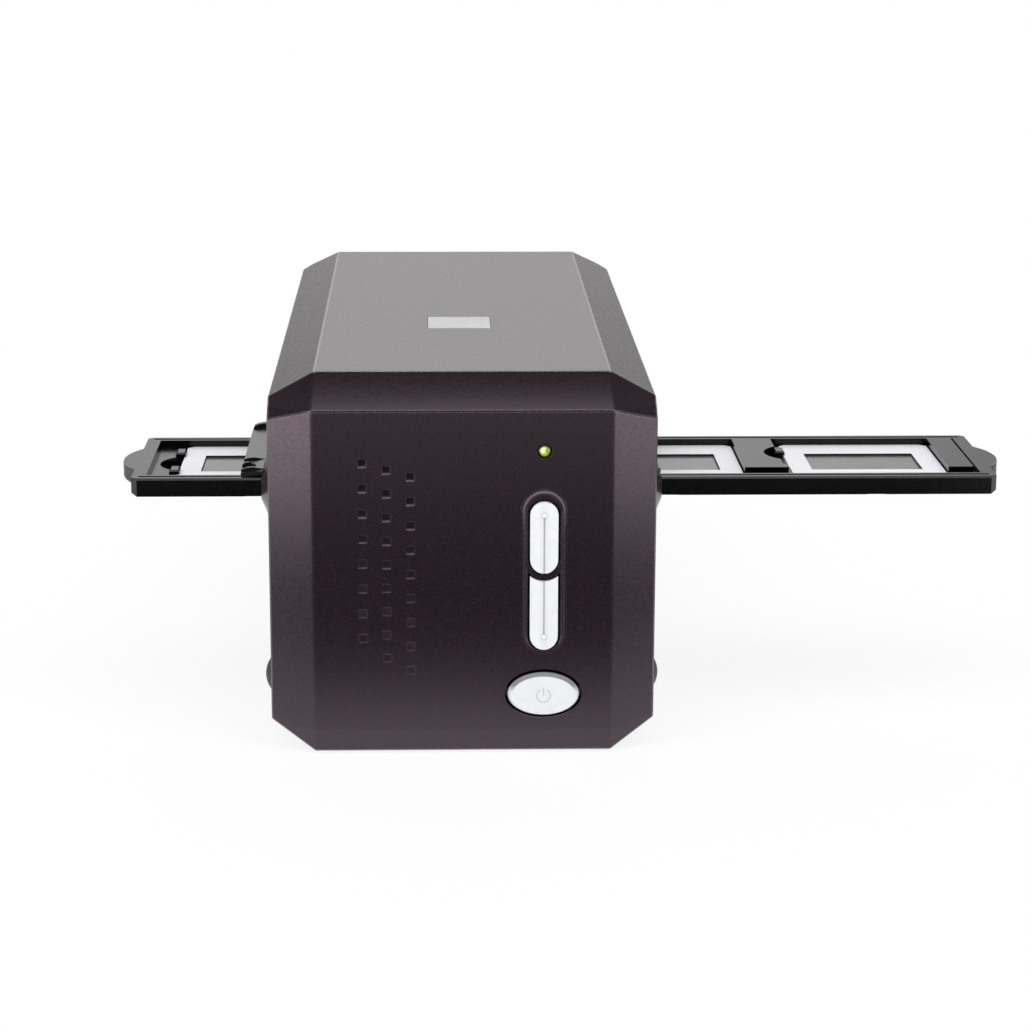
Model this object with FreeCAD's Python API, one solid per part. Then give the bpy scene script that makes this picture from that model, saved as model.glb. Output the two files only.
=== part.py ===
import FreeCAD, Part
import math
import os

# Desktop film scanner: a faceted housing with a slide holder that runs through it from side to side.
# Lengths are in millimetres. X runs to the right, Y from the front face backwards, Z up from the table.
# X is counted from the middle of the housing here, and the finished pieces move to the shared origin.

Vector = FreeCAD.Vector
ALONG_X = Vector(1, 0, 0)
ALONG_Y = Vector(0, 1, 0)
ALONG_Z = Vector(0, 0, 1)

# Housing
shell_width = 120.5
shell_depth = 269.4
shell_height = 119.2
wall = 2.4
edge_bevel = 0.7
foot_proud = 0.8
top_chamfer_width = 14.35
top_chamfer_drop = 7.9
bottom_chamfer_width = 13.85
bottom_chamfer_rise = 9.2
side_facet_width = 13.9
side_facet_depth = 5.9
top_facet_depth = 14.1
top_facet_drop = 9.8
bottom_facet_depth = 1.4
bottom_facet_rise = 7.1
bottom_corner_depth = 6.2
rear_facet_depth = 10.6
bezel_seam_margin = 1.0
rear_cover_length = 14.0
tray_side_height = 11.2
lip_thickness = 1.4
lip_height = 4.0
lip_clearance = 0.2

# Seat for the badge plate on the top
badge_width = 21.3
badge_depth = 22.0
badge_from_front = 88.6
badge_x = -0.15
badge_sink = 0.4

# Clearances
seat_gap = 0.3
shaft_clearance = 0.05
pin_clearance = 0.03
button_gap = 0.65
slide_clearance = 0.4
overrun = 1.0

# Recessed dots on the front face
dot_side = 2.5
dot_deep = 1.2
dot_shallow = 0.45
dot_column_pitch = 7.4
dot_counts = (8, 9, 9)
dot_pitch_shares = (1.03, 0.97, 1.0)
dot_first_share = -0.51452
dot_high_share = 0.21896
dot_step_share = 0.065017
dot_drop_share = 0.018037

# Status light
light_radius = 1.8
light_hole_radius = 2.3
light_proud = 0.15
light_dome_radius = 4.0
light_high_share = 0.18834
button_line_share = 0.4166

# Scan buttons and the raised collar around them
scan_button_width = 8.7
upper_button_share = 0.19044
upper_button_high_share = 0.31963
lower_button_share = 0.22064
button_bridge = 2.6
scan_button_proud = 1.9
crown_radius = 14.0
collar_width = 14.1
collar_share = 0.44044
collar_high_share = 0.28859
collar_proud = 1.0
collar_bevel = 0.9
groove_width = 0.4
groove_depth = 0.3
bead_side = 1.0
bead_from_end = 4.3
bead_proud = 0.2
button_travel = 0.8
stop_gap = 0.1
tab_reach = 0.9
tab_thickness = 1.2
stem_side = 3.0

# Power button
power_width = 22.3
power_height = 13.8
power_gap = 0.9
power_bevel = 0.9
power_rim = 0.5
power_proud = 2.6
power_high_share = 0.83977
power_crown_radius = 90.0

# Button board behind the bezel
button_board_front = 12.0
button_board_thickness = 1.6
button_board_width = 27.0
button_board_margin = 4.0
switch_side = 6.0
switch_height = 3.5
plunger_side = 2.6
plunger_height = 0.8
board_post_side = 4.0
board_post_offset = 10.6
board_post_shares = (0.12, 0.5)

# Slide holder
slide_pitch_share = 0.23967
slide_side = 50.0
slide_sink = 2.1
slide_thickness = 1.8
slide_window_width = 36.0
slide_window_height = 23.0
slide_corner = 2.0
film_thickness = 0.3
film_overlap = 1.6
film_sink = 0.7
holder_length = 275.8
holder_width = 61.0
holder_thickness = 5.9
holder_high_share = 0.31208
holder_near = 27.9
holder_rail = 5.0
holder_corner = 1.9
holder_edge_bevel = 0.6
holder_end_strip = 4.5
holder_end_step = 0.9
holder_window_width = 41.0
holder_window_height = 31.0
lobe_reach = 5.1
lobe_half_chord = 15.5
lobe_drop = 0.5
rail_groove_inset = 2.2
rail_groove_width = 1.5
rail_groove_depth = 0.8
divider_left_gap = 0.4
divider_right_gap = 2.6
divider_near_gap = 8.4
divider_end_gap = 0.7
notch_radius = 12.2
notch_share = 0.3975
arm_reach = 1.2
arm_width = 5.0
hook_length = 3.3
hook_reach = 0.8
hook_width = 6.5
hook_gap = 0.15
hook_height = 1.3
hook_bevel = 0.5
hook_offsets = (-12.7, 12.7)
hook_hold = 0.52
index_notch_width = 3.6
index_notch_depth = 0.8
near_mark_width = 5.8
near_mark_depth = 0.3

# Film slots and their bulged surrounds
slot_side_gap = 0.45
slot_top_gap = 0.6
boss_proud = 3.2
boss_slope_near = 5.6
boss_slope_low = 8.0
boss_slope_high = 9.0
boss_corner = 8.0
boss_lip = 1.4
boss_low_lip = 0.5
boss_tip_corner = 1.6
boss_corner_steps = 4
boss_top_over_holder = 0.2
boss_inner_reach = 4.0
collar_wall_gap = 0.2

# Dust doors and their pins
door_width = 69.0
door_length = 8.2
door_thickness = 1.3
door_inset = 0.6
door_end_gap = 0.35
door_barrel_radius = 1.4
door_pin_radius = 0.8
door_pin_over = 1.6
door_hinge_out = 1.6
door_hinge_over_holder = 1.75
door_room_over_holder = 6.5
door_cavity_gap = 0.5
door_rib_width = 1.2
door_rib_height = 1.0
door_end_rib_width = 2.6
door_end_rib_height = 1.5
door_end_rib_shares = ((0.93, 0.6), (0.7, 0.95), (0.5, 1.0), (0.2, 0.75))
door_rib_shares = (0.035, 0.125, 0.25)
door_rib_length_shares = (0.95, 0.55, 0.85)
door_rib_height_shares = (1.0, 1.35, 0.85)

# Side bumpers
bumper_proud = 2.9
bumper_radius = 6.4
bumper_from_front = 28.0
bumper_height = 18.4

# Feet and screws
foot_radius = 6.0
foot_from_side = 22.0
foot_from_end = 26.0
screw_head_radius = 2.8
screw_head_height = 1.3
screw_radius = 1.4
screw_hole_gap = 0.1
rear_screw_share = 0.66667
rear_screw_height = 20.0
rear_screw_length = 19.0
rear_boss_half = 4.5
rear_boss_length = 12.0

# Chassis
chassis_floor = 2.5
chassis_width_share = 0.75833
chassis_wall = 3.0
chassis_front = 18.0
chassis_gate_walls = 80.0
chassis_rear_share = 0.48658
chassis_window_margin = 14.0

# Film gate
gate_thickness = 4.4
gate_rail_share = 0.83333
gate_rail_width = 7.2
gate_rail_sink = 0.3
gate_window_width = 42.0
gate_window_height = 30.0

# Index spring
spring_half = 15.0
spring_thickness = 0.4
spring_height = 3.6
spring_pocket_depth = 5.4
spring_bump_half = 4.0
spring_shoulder = 2.6

# Lamp
lamp_half_width = 27.0
lamp_bottom_gap = 3.2
lamp_height = 18.0
lamp_wall = 2.4
lamp_cavity_height = 12.0
lamp_cavity_width = 44.0
lamp_cavity_depth = 34.0
diffuser_thickness = 1.6
diffuser_overlap = 1.4
lamp_board_width = 40.0
lamp_board_depth = 20.0
lamp_board_thickness = 1.6
lamp_led_side = 3.0
lamp_led_height = 1.0
lamp_led_count = 6

# Scan carriage
carriage_travel = 24.0
carriage_width_share = 0.53333
carriage_front_gap = 11.0
carriage_length_share = 0.59394
carriage_bottom_share = 0.25168
carriage_height_share = 0.30201
carriage_wall = 2.0
carriage_cover_thickness = 2.0
scan_slit_width = 40.0
scan_slit_height = 3.0
optic_axis_share = 0.40268
mirror_width_share = 0.45
mirror_length = 28.0
mirror_thickness = 2.0
mirror_wedge_width = 5.0
lens_radius = 10.0
lens_length_share = 0.2449
lens_place_share = 0.32653
lens_glass_radius = 6.5
lens_glass_thickness = 2.5
lens_glass_bulge = 1.0
clamp_half_width = 14.0
clamp_length_share = 0.5
sensor_board_share = 0.48333
sensor_board_thickness = 1.6
sensor_board_from_end = 6.4
sensor_width_share = 0.33333
sensor_height = 8.0
sensor_thickness = 2.6

# Guide rods, bushes and drive
rod_radius = 2.5
rod_place_share = 0.60833
rod_height_share = 0.33557
bush_radius = 3.9
bush_length = 10.0
ear_half_height = 5.5
ear_wall = 1.4
ear_from_end = 8.0
fork_gap = 0.08
screw_line_share = 0.33333
screw_height_share = 0.15101
lead_screw_radius = 2.5
lead = 4.0
nut_half_width = 6.0
nut_length = 12.0
nut_place_share = 0.57143
nut_under_screw = 6.0
motor_floor_gap = 2.8
motor_board_gap = 4.4
motor_length = 22.0
motor_shaft_depth = 10.0
motor_flange_margin = 2.0
motor_flange_thickness = 1.5

# Main board and sockets
board_width_share = 0.55
board_length = 46.0
board_from_rear = 8.0
board_thickness = 1.6
board_height = 13.0
board_post_place_share = 0.46667
board_post_width = 5.0
board_post_from_end = 5.0
chip_height = 1.6
chip_shares = ((0.3, 0.45, 0.36), (0.72, 0.35, 0.2), (0.75, 0.72, 0.14))
socket_end_inset = 0.6
usb_place_share = -0.33333
usb_width = 12.0
usb_height = 11.0
usb_length = 16.0
usb_mouth_width = 8.5
usb_mouth_height = 7.8
usb_depth = 9.0
usb_tongue_width = 5.6
usb_tongue_height = 3.2
usb_tongue_sink = 3.0
jack_place_share = 0.30833
jack_width = 9.0
jack_height = 11.0
jack_length = 14.0
jack_bore_radius = 3.2
jack_pin_radius = 1.05
jack_depth = 9.0
jack_pin_sink = 3.0
socket_hole_gap = 0.2

# Places that follow from the sizes
half_width = shell_width / 2
button_line_x = half_width * button_line_share
dot_first_x = half_width * dot_first_share
rear_screw_x = half_width * rear_screw_share
chassis_half_width = half_width * chassis_width_share
gate_half_width = half_width - boss_inner_reach - collar_wall_gap
gate_rail_half = half_width * gate_rail_share
carriage_half_width = half_width * carriage_width_share
mirror_half_width = half_width * mirror_width_share
sensor_board_half_width = half_width * sensor_board_share
sensor_half_width = half_width * sensor_width_share
rod_x = half_width * rod_place_share
screw_line_x = half_width * screw_line_share
board_half_width = half_width * board_width_share
board_post_x = half_width * board_post_place_share
usb_x = half_width * usb_place_share
jack_x = half_width * jack_place_share
dot_below_top = shell_height * dot_high_share
dot_pitch = shell_height * dot_step_share
dot_column_drop = shell_height * dot_drop_share
light_below_top = shell_height * light_high_share
upper_button_height = shell_height * upper_button_share
upper_button_below_top = shell_height * upper_button_high_share
lower_button_height = shell_height * lower_button_share
collar_height = shell_height * collar_share
collar_below_top = shell_height * collar_high_share
power_below_top = shell_height * power_high_share
holder_below_top = shell_height * holder_high_share
chassis_rear_height = shell_height * chassis_rear_share
carriage_bottom = shell_height * carriage_bottom_share
carriage_height = shell_height * carriage_height_share
optic_axis_height = shell_height * optic_axis_share
rod_height = shell_height * rod_height_share
screw_line_height = shell_height * screw_height_share
slide_pitch = holder_length * slide_pitch_share
notch_depth = (slide_pitch - slide_side) * notch_share
notch_half_chord = math.sqrt(notch_radius ** 2 - (notch_radius - notch_depth) ** 2)
finger_hook_offset = notch_half_chord + hook_hold - hook_width / 2
bottom_z = foot_proud
top_z = foot_proud + shell_height
face_top = top_z - top_facet_drop
face_bottom = bottom_z + bottom_facet_rise
front_seam = top_facet_depth + bezel_seam_margin
rear_seam = shell_depth - rear_cover_length
tray_seam = bottom_z + tray_side_height
floor_z = bottom_z + wall
holder_top = top_z - holder_below_top
holder_bottom = holder_top - holder_thickness
holder_far = holder_near + holder_width
holder_middle = holder_near + holder_width / 2
holder_centre = slide_pitch / 2
slide_top = holder_top - slide_sink
slide_bottom = slide_top - slide_thickness
gate_top = holder_bottom - seat_gap
gate_bottom = gate_top - gate_thickness
chassis_top = floor_z + chassis_floor
board_rear = shell_depth - board_from_rear
board_front = board_rear - board_length
chassis_rear = board_front - motor_board_gap - motor_length
chassis_inside = chassis_rear - chassis_front - 2 * chassis_wall
carriage_length = chassis_inside * carriage_length_share
lens_length = carriage_length * lens_length_share
lens_from_mirror = carriage_length * lens_place_share
clamp_length = lens_length * clamp_length_share
nut_from_front = carriage_length * nut_place_share
motor_radius = screw_line_height - floor_z - motor_floor_gap
motor_flange_half = motor_radius + motor_flange_margin
hinge_z = holder_top + door_hinge_over_holder
door_drop = door_hinge_over_holder - seat_gap - door_thickness / 2
door_tilt = math.degrees(math.asin(door_drop / door_length))
door_near = holder_near + door_inset
door_far = door_near + door_width
mid_y = (shell_depth - power_proud) / 2
middle = Vector(0, shell_depth / 2, (bottom_z + top_z) / 2)
origin_shift = Vector(-holder_centre, -mid_y, 0)


def box(x0, x1, y0, y1, z0, z1):
    return Part.makeBox(x1 - x0, y1 - y0, z1 - z0, Vector(x0, y0, z0))


# Box over the whole width of the housing
def slab(y0, y1, z0, z1):
    return box(-far_x, far_x, y0, y1, z0, z1)


def round_y(x, z, radius, y0, y1):
    return Part.makeCylinder(radius, y1 - y0, Vector(x, y0, z), ALONG_Y)


def square_y(x, z, side, y0, y1):
    return box(x - side / 2, x + side / 2, y0, y1, z - side / 2, z + side / 2)


def round_z(x, y, radius, z0, z1):
    return Part.makeCylinder(radius, z1 - z0, Vector(x, y, z0), ALONG_Z)


def prism(points, length):
    outline = Part.makePolygon(points + points[:1])
    return Part.Face(outline).extrude(length)


def fuse(solids):
    joined = solids[0]
    for solid in solids[1:]:
        joined = joined.fuse(solid)
    return joined.removeSplitter()


def save(node, *solids):
    shape = solids[0]
    if len(solids) > 1:
        shape = Part.makeCompound(list(solids))
    shape.translate(origin_shift)
    shape.exportStep("parts/" + node + ".step")
    print(node, len(shape.Solids), shape.isValid(), round(shape.Volume, 1))


# Upright stadium outline, straight at the sides and round at both ends, pushed backwards from y0 to y1
def stadium(x, z0, z1, width, y0, y1):
    radius = width / 2
    low = z0 + radius
    high = z1 - radius
    left_low = Vector(x - radius, y0, low)
    left_high = Vector(x - radius, y0, high)
    right_low = Vector(x + radius, y0, low)
    right_high = Vector(x + radius, y0, high)
    edges = [
        Part.LineSegment(left_low, left_high).toShape(),
        Part.Arc(left_high, Vector(x, y0, z1), right_high).toShape(),
        Part.LineSegment(right_high, right_low).toShape(),
        Part.Arc(right_low, Vector(x, y0, z0), left_low).toShape(),
    ]
    return Part.Face(Part.Wire(edges)).extrude(Vector(0, y1 - y0, 0))


# Rectangle in the plane of a side wall with its corners rounded in short steps, as a list of points
def side_outline(x, y0, y1, z0, z1, radius):
    centres = [(y1 - radius, z1 - radius), (y0 + radius, z1 - radius),
               (y0 + radius, z0 + radius), (y1 - radius, z0 + radius)]
    points = []
    for quarter, (y, z) in enumerate(centres):
        for step in range(boss_corner_steps + 1):
            angle = (quarter + step / boss_corner_steps) * math.pi / 2
            points.append(Vector(x, y + radius * math.cos(angle), z + radius * math.sin(angle)))
    return points


# Solid between two outlines of as many points in parallel planes
def tapered(base, face):
    faces = [Part.Face(Part.makePolygon(points + points[:1])) for points in (base, face)]
    for index, corner in enumerate(base):
        ring = [base[index - 1], corner, face[index], face[index - 1], base[index - 1]]
        faces.append(Part.Face(Part.makePolygon(ring)))
    return Part.Solid(Part.Shell(faces))


# Upright ellipse in the plane of the front face, as a wire
def front_ellipse(x, y, z, width, height):
    curve = Part.Ellipse(Vector(0, 0, 0), width / 2, height / 2)
    wire = Part.Wire([curve.toShape()])
    wire.rotate(Vector(0, 0, 0), ALONG_X, 90)
    wire.translate(Vector(x, y, z))
    return wire


# Facets of the housing, each given by three points of its plane
def facet_planes():
    planes = []
    back = Vector(0, shell_depth, 0)
    up = Vector(0, 0, shell_height)
    across = Vector(half_width, 0, 0)
    for side in (-1, 1):
        top_inner = Vector(side * (half_width - top_chamfer_width), top_facet_depth, top_z)
        top_outer = Vector(side * half_width, top_facet_depth, top_z - top_chamfer_drop)
        face_high = Vector(side * (half_width - side_facet_width), 0, face_top)
        face_low = Vector(side * (half_width - side_facet_width), 0, face_bottom)
        low_inner = Vector(side * (half_width - bottom_chamfer_width), bottom_facet_depth, bottom_z)
        low_outer = Vector(side * half_width, bottom_corner_depth, bottom_z + bottom_chamfer_rise)
        side_edge = Vector(side * half_width, side_facet_depth, face_top)
        rear_face = face_low + back
        rear_edge = Vector(side * half_width, shell_depth - side_facet_depth, face_low.z)
        planes.append((top_inner, top_outer, top_inner + back))
        planes.append((low_inner, low_outer, low_inner + back))
        planes.append((face_high, face_low, side_edge))
        planes.append((top_inner, top_outer, face_high))
        planes.append((face_low, low_inner, low_outer))
        planes.append((rear_face, rear_face + up, rear_edge))
    front_high = Vector(0, 0, face_top)
    front_low = Vector(0, 0, face_bottom)
    planes.append((front_high, front_high + across, Vector(0, top_facet_depth, top_z)))
    planes.append((front_low, front_low + across, Vector(0, bottom_facet_depth, bottom_z)))
    rear_high = front_high + back
    rear_low = front_low + back
    rear_top = Vector(0, shell_depth - rear_facet_depth, top_z)
    rear_foot = Vector(0, shell_depth - bottom_facet_depth, bottom_z)
    planes.append((rear_high, rear_high + across, rear_top))
    planes.append((rear_low, rear_low + across, rear_foot))
    return planes


# Block that fills all the space beyond a plane
def beyond(point, normal):
    reach = 2 * (shell_width + shell_depth + shell_height)
    block = Part.makeBox(reach, reach, reach, Vector(-reach / 2, -reach / 2, 0))
    block.Placement = FreeCAD.Placement(point, FreeCAD.Rotation(ALONG_Z, normal))
    return block


# Direction turned so that it points out of the housing at the given point
def outward(direction, point):
    if direction.dot(middle - point) > 0:
        return direction.negative().normalize()
    return Vector(direction).normalize()


# Housing body with every face moved inwards by the inset
def faceted_block(inset):
    solid = box(-half_width + inset, half_width - inset, inset, shell_depth - inset,
                bottom_z + inset, top_z - inset)
    for first, second, third in facet_planes():
        normal = outward((second - first).cross(third - first), first)
        solid = solid.cut(beyond(first - normal * inset, normal))
    return solid


# Body with a narrow flat strip in place of each of its edges
def bevel_edges(solid, strip):
    blocks = []
    for edge in solid.Edges:
        point = edge.Vertexes[0].Point
        faces = solid.ancestorsOfType(edge, Part.Face)
        normals = [outward(face.normalAt(0, 0), point) for face in faces]
        bisector = outward(normals[0] + normals[1], point)
        depth = strip * math.tan(normals[0].getAngle(normals[1]) / 2) / 2
        blocks.append(beyond(point - bisector * depth, bisector))
    for block in blocks:
        solid = solid.cut(block)
    return solid


os.makedirs("parts", exist_ok=True)

outer_block = bevel_edges(faceted_block(0), edge_bevel)
inner_block = faceted_block(wall)
shell = outer_block.cut(inner_block)
lip_outer = faceted_block(wall + lip_clearance)
lip_inner = faceted_block(wall + lip_clearance + lip_thickness)
lip_ring = lip_outer.cut(lip_inner)
lip_filler = inner_block.cut(lip_outer)
lip_floor = tray_seam + lip_height + seat_gap
far_x = half_width + overrun
far_z = top_z + overrun
low_z = bottom_z - overrun


# Lip that stands over a seam of the shell and is filled out to the wall on its own side
def seam_lip(seam, side):
    reach = slab(seam - lip_height, seam + lip_height, lip_floor, far_z)
    link_end = seam - side * lip_height
    link = slab(min(seam, link_end), max(seam, link_end), lip_floor, far_z)
    return fuse([lip_ring.common(reach), lip_filler.common(link)])


# Front bezel
def scan_button_outline(grow, y0, y1):
    upper_high = top_z - upper_button_below_top
    upper_low = upper_high - upper_button_height
    width = scan_button_width + 2 * grow
    upper = stadium(button_line_x, upper_low - grow, upper_high + grow, width, y0, y1)
    bite_z = upper_low + scan_button_width / 2
    bite_radius = scan_button_width / 2 + button_bridge
    lower_high = upper_low - button_bridge + scan_button_width / 2
    lower_low = lower_high - lower_button_height
    lower = stadium(button_line_x, lower_low - grow, bite_z, width, y0, y1)
    bite = round_y(button_line_x, bite_z, bite_radius - grow, y0 - overrun, y1 + overrun)
    return upper, lower.cut(bite), upper_low, lower_low


def power_outline(grow, y0, y1):
    z = top_z - power_below_top
    first = front_ellipse(button_line_x, y0, z, power_width + 2 * grow, power_height + 2 * grow)
    return Part.Face(first).extrude(Vector(0, y1 - y0, 0)), z


upper_high = top_z - upper_button_below_top
scan_holes = scan_button_outline(button_gap, -2 * collar_proud, 2 * wall)
upper_low, lower_low = scan_holes[2:]
power_hole, power_z = power_outline(power_gap, -overrun, 2 * wall)
light_z = top_z - light_below_top
collar_high = top_z - collar_below_top
collar_low = collar_high - collar_height
collar = stadium(button_line_x, collar_low, collar_high, collar_width, -collar_proud, wall / 2)
collar_edges = [edge for edge in collar.Edges if abs(edge.BoundBox.YMax + collar_proud) < stop_gap]
collar = collar.makeChamfer(collar_bevel, collar_edges)
bezel = shell.common(slab(-overrun, front_seam, low_z, far_z))
bezel = bezel.fuse(collar).removeSplitter()
bezel = bezel.cut(Part.makeCompound([scan_holes[0], scan_holes[1], power_hole]))
bezel = bezel.cut(round_y(button_line_x, light_z, light_hole_radius, -overrun, wall + overrun))
dots = []
for column, count in enumerate(dot_counts):
    x = dot_first_x + column * dot_column_pitch
    first_z = top_z - dot_below_top - column * dot_column_drop
    for row in range(count):
        z = first_z - row * dot_pitch * dot_pitch_shares[column]
        depth = dot_deep + (dot_shallow - dot_deep) * row / (count - 1)
        dots.append(square_y(x, z, dot_side, -overrun, depth))
bezel = bezel.cut(Part.makeCompound(dots))
board_low = power_z - power_height / 2 + button_board_margin
board_high = light_z + button_board_margin
posts = []
for share in board_post_shares:
    z = board_high + (board_low - board_high) * share
    x = button_line_x - board_post_offset
    posts.append(square_y(x, z, board_post_side, wall / 2, button_board_front))
x = button_line_x + board_post_offset
posts.append(square_y(x, z, board_post_side, wall / 2, button_board_front))
bezel = fuse([bezel, seam_lip(front_seam, 1)] + posts)
save("front_bezel", bezel)

# Status light, a round lens whose leads reach the button board
light = round_y(button_line_x, light_z, light_radius, -light_proud, button_board_front)
ball_y = light_dome_radius - light_proud
light_ball = Part.makeSphere(light_dome_radius, Vector(button_line_x, ball_y, light_z))
light_rim = slab(-overrun, wall, low_z, far_z).cut(light_ball)
save("status_light", light.cut(light_rim))

# Scan buttons: crowned caps with a groove, a bead, a cross bar that stops them and a stem
switch_face = button_board_front - switch_height
plunger_face = switch_face - plunger_height
stem_end = plunger_face - button_travel - pin_clearance
tab_front = wall + stop_gap
tab_back = tab_front + tab_thickness
caps = scan_button_outline(0, -scan_button_proud, tab_back)
crown = round_z(button_line_x, crown_radius - scan_button_proud, crown_radius, low_z, far_z)
upper_middle = (upper_low + upper_high) / 2
lower_middle = (lower_low + upper_low - button_bridge) / 2
bead_upper = upper_high - bead_from_end
bead_lower = lower_low + bead_from_end
button_plan = (
    ("upper_scan_button", caps[0], upper_middle, bead_upper, upper_low, bead_upper),
    ("lower_scan_button", caps[1], lower_middle, bead_lower, bead_lower, upper_low),
)


# Stem to the switch and the cross bar that keeps a button behind the bezel
def button_stem(z, half_reach):
    stem = square_y(button_line_x, z, stem_side, tab_front, stem_end)
    bar = box(button_line_x - half_reach, button_line_x + half_reach, tab_front, tab_back,
              z - stem_side / 2, z + stem_side / 2)
    return [stem, bar]


for node, cap, stem_z, bead_z, groove_low, groove_high in button_plan:
    cap = cap.common(crown)
    groove = box(button_line_x - groove_width / 2, button_line_x + groove_width / 2,
                 -scan_button_proud - overrun, groove_depth - scan_button_proud, groove_low, groove_high)
    bead = square_y(button_line_x, bead_z, bead_side, -scan_button_proud - bead_proud, 0)
    half_reach = scan_button_width / 2 + button_gap + tab_reach
    save(node, fuse([cap.cut(groove), bead] + button_stem(stem_z, half_reach)))

# Power button: an oval cap with a bevelled rim and a slightly crowned face
rim_back = front_ellipse(button_line_x, -power_rim, power_z, power_width, power_height)
rim_front = front_ellipse(button_line_x, -power_proud, power_z,
                          power_width - 2 * power_bevel, power_height - 2 * power_bevel)
rim = Part.makeLoft([rim_back, rim_front], True)
ball_y = power_crown_radius - power_proud
crown_ball = Part.makeSphere(power_crown_radius, Vector(button_line_x, ball_y, power_z))
body = power_outline(0, -power_rim, tab_back)[0]
power_stem = button_stem(power_z, power_width / 2 + power_gap + tab_reach)
save("power_button", fuse([rim.common(crown_ball), body] + power_stem))

# Button board with its three switches
board_half = button_board_width / 2
save("button_board", box(button_line_x - board_half, button_line_x + board_half, button_board_front,
                         button_board_front + button_board_thickness, board_low, board_high))
switches = []
for z in (upper_middle, lower_middle, power_z):
    base = box(button_line_x - switch_side / 2, button_line_x + switch_side / 2,
               switch_face, button_board_front, z - switch_side / 2, z + switch_side / 2)
    plunger = square_y(button_line_x, z, plunger_side, plunger_face, switch_face)
    switches.append(fuse([base, plunger]))
save("tact_switches", *switches)


# Top cover with the two slot openings and the shallow seat of the badge plate
passage_near = holder_near - slot_side_gap
passage_far = holder_far + slot_side_gap
passage_low = holder_bottom - seat_gap
passage_high = holder_top + slot_top_gap
cavity_near = door_near - door_end_gap
cavity_far = door_far + door_end_gap
cavity_high = holder_top + door_room_over_holder
tip_near = passage_near - boss_lip
tip_far = cavity_far + boss_lip
opening_low = passage_low - boss_lip
tip_low = passage_low - boss_low_lip
tip_high = holder_top + boss_top_over_holder
cover = shell.common(slab(front_seam, rear_seam, tray_seam, far_z))
cover = cover.cut(slab(tip_near, tip_far, opening_low, cavity_high))
save("top_cover", cover.cut(box(badge_x - badge_width / 2, badge_x + badge_width / 2, badge_from_front,
                                badge_from_front + badge_depth, top_z - badge_sink, far_z)))

# Base tray with its lip, two bosses for the rear screws and four posts for the main board
foot_x = half_width - foot_from_side
foot_places = [(side * foot_x, y) for side in (-1, 1) for y in (foot_from_end, shell_depth - foot_from_end)]
tray = shell.common(slab(front_seam, rear_seam, low_z, tray_seam))
lip = lip_ring.common(slab(front_seam, rear_seam, tray_seam - lip_height, tray_seam + lip_height))
lip_link = lip_filler.common(slab(front_seam, rear_seam, tray_seam - lip_height, tray_seam))
tray_bosses = []
rear_screw_holes = []
for side in (-1, 1):
    x = side * rear_screw_x
    boss_y = rear_seam - rear_boss_length
    tray_bosses.append(box(x - rear_boss_half, x + rear_boss_half, boss_y, rear_seam,
                           bottom_z + wall / 2, rear_screw_height + rear_boss_half))
    rear_screw_holes.append(round_y(x, rear_screw_height, screw_radius + screw_hole_gap,
                                    boss_y - overrun, shell_depth))
    rear_screw_holes.append(round_y(x, rear_screw_height, screw_head_radius + screw_hole_gap,
                                    shell_depth - screw_head_height, shell_depth + overrun))
posts = []
for side in (-1, 1):
    for y in (board_front + board_post_from_end, rear_seam - board_post_from_end):
        x = side * board_post_x
        posts.append(box(x - board_post_width / 2, x + board_post_width / 2, y - board_post_width / 2,
                         y + board_post_width / 2, floor_z - wall / 2, board_height))
tray = fuse([tray, lip, lip_link] + tray_bosses + posts)
save("base_tray", tray.cut(Part.makeCompound(rear_screw_holes)))

# Rear cover with openings for the sockets
socket_end = shell_depth - socket_end_inset
socket_low = board_height + board_thickness
usb_low = socket_low - socket_hole_gap
rear = shell.common(slab(rear_seam, shell_depth + overrun, low_z, far_z))
for x, width, height in ((usb_x, usb_width, usb_height), (jack_x, jack_width, jack_height)):
    half = width / 2 + socket_hole_gap
    rear = rear.cut(box(x - half, x + half, rear_seam, shell_depth + overrun,
                        usb_low, socket_low + height + socket_hole_gap))
rear = fuse([rear, seam_lip(rear_seam, -1)])
save("rear_cover", rear.cut(Part.makeCompound(rear_screw_holes)))


# Slot surrounds: a bulged frame on each side wall, with a collar that passes through the wall
def slot_bezel(side):
    tip = half_width + boss_proud
    base = side_outline(side * half_width, tip_near - boss_slope_near, tip_far + boss_slope_near,
                        tip_low - boss_slope_low, tip_high + boss_slope_high, boss_corner)
    face = side_outline(side * tip, tip_near, tip_far, tip_low, tip_high, boss_tip_corner)
    bulge = tapered(base, face)
    inner = side * (half_width - boss_inner_reach)
    low_x = min(inner, side * half_width)
    high_x = max(inner, side * half_width)
    gap = collar_wall_gap
    collar_ring = box(low_x, high_x, tip_near + gap, tip_far - gap, opening_low + gap, cavity_high - gap)
    frame = bulge.fuse(collar_ring)
    outer_x = far_x + boss_proud
    passage = box(-outer_x, outer_x, passage_near, passage_far, passage_low, passage_high)
    hinge_x = side * (half_width + door_hinge_out)
    barrel_room = door_barrel_radius + door_cavity_gap
    outer = side * (tip + overrun)
    if side < 0:
        cavity = box(outer, hinge_x + barrel_room, cavity_near, cavity_far, passage_high - overrun, far_z)
    else:
        cavity = box(inner - overrun, outer, cavity_near, cavity_far, passage_high - overrun, far_z)
    bore = round_y(hinge_x, hinge_z, door_pin_radius + pin_clearance, cavity_near - door_pin_over,
                   cavity_far + door_pin_over)
    return frame.cut(passage).cut(cavity).cut(bore)


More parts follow.
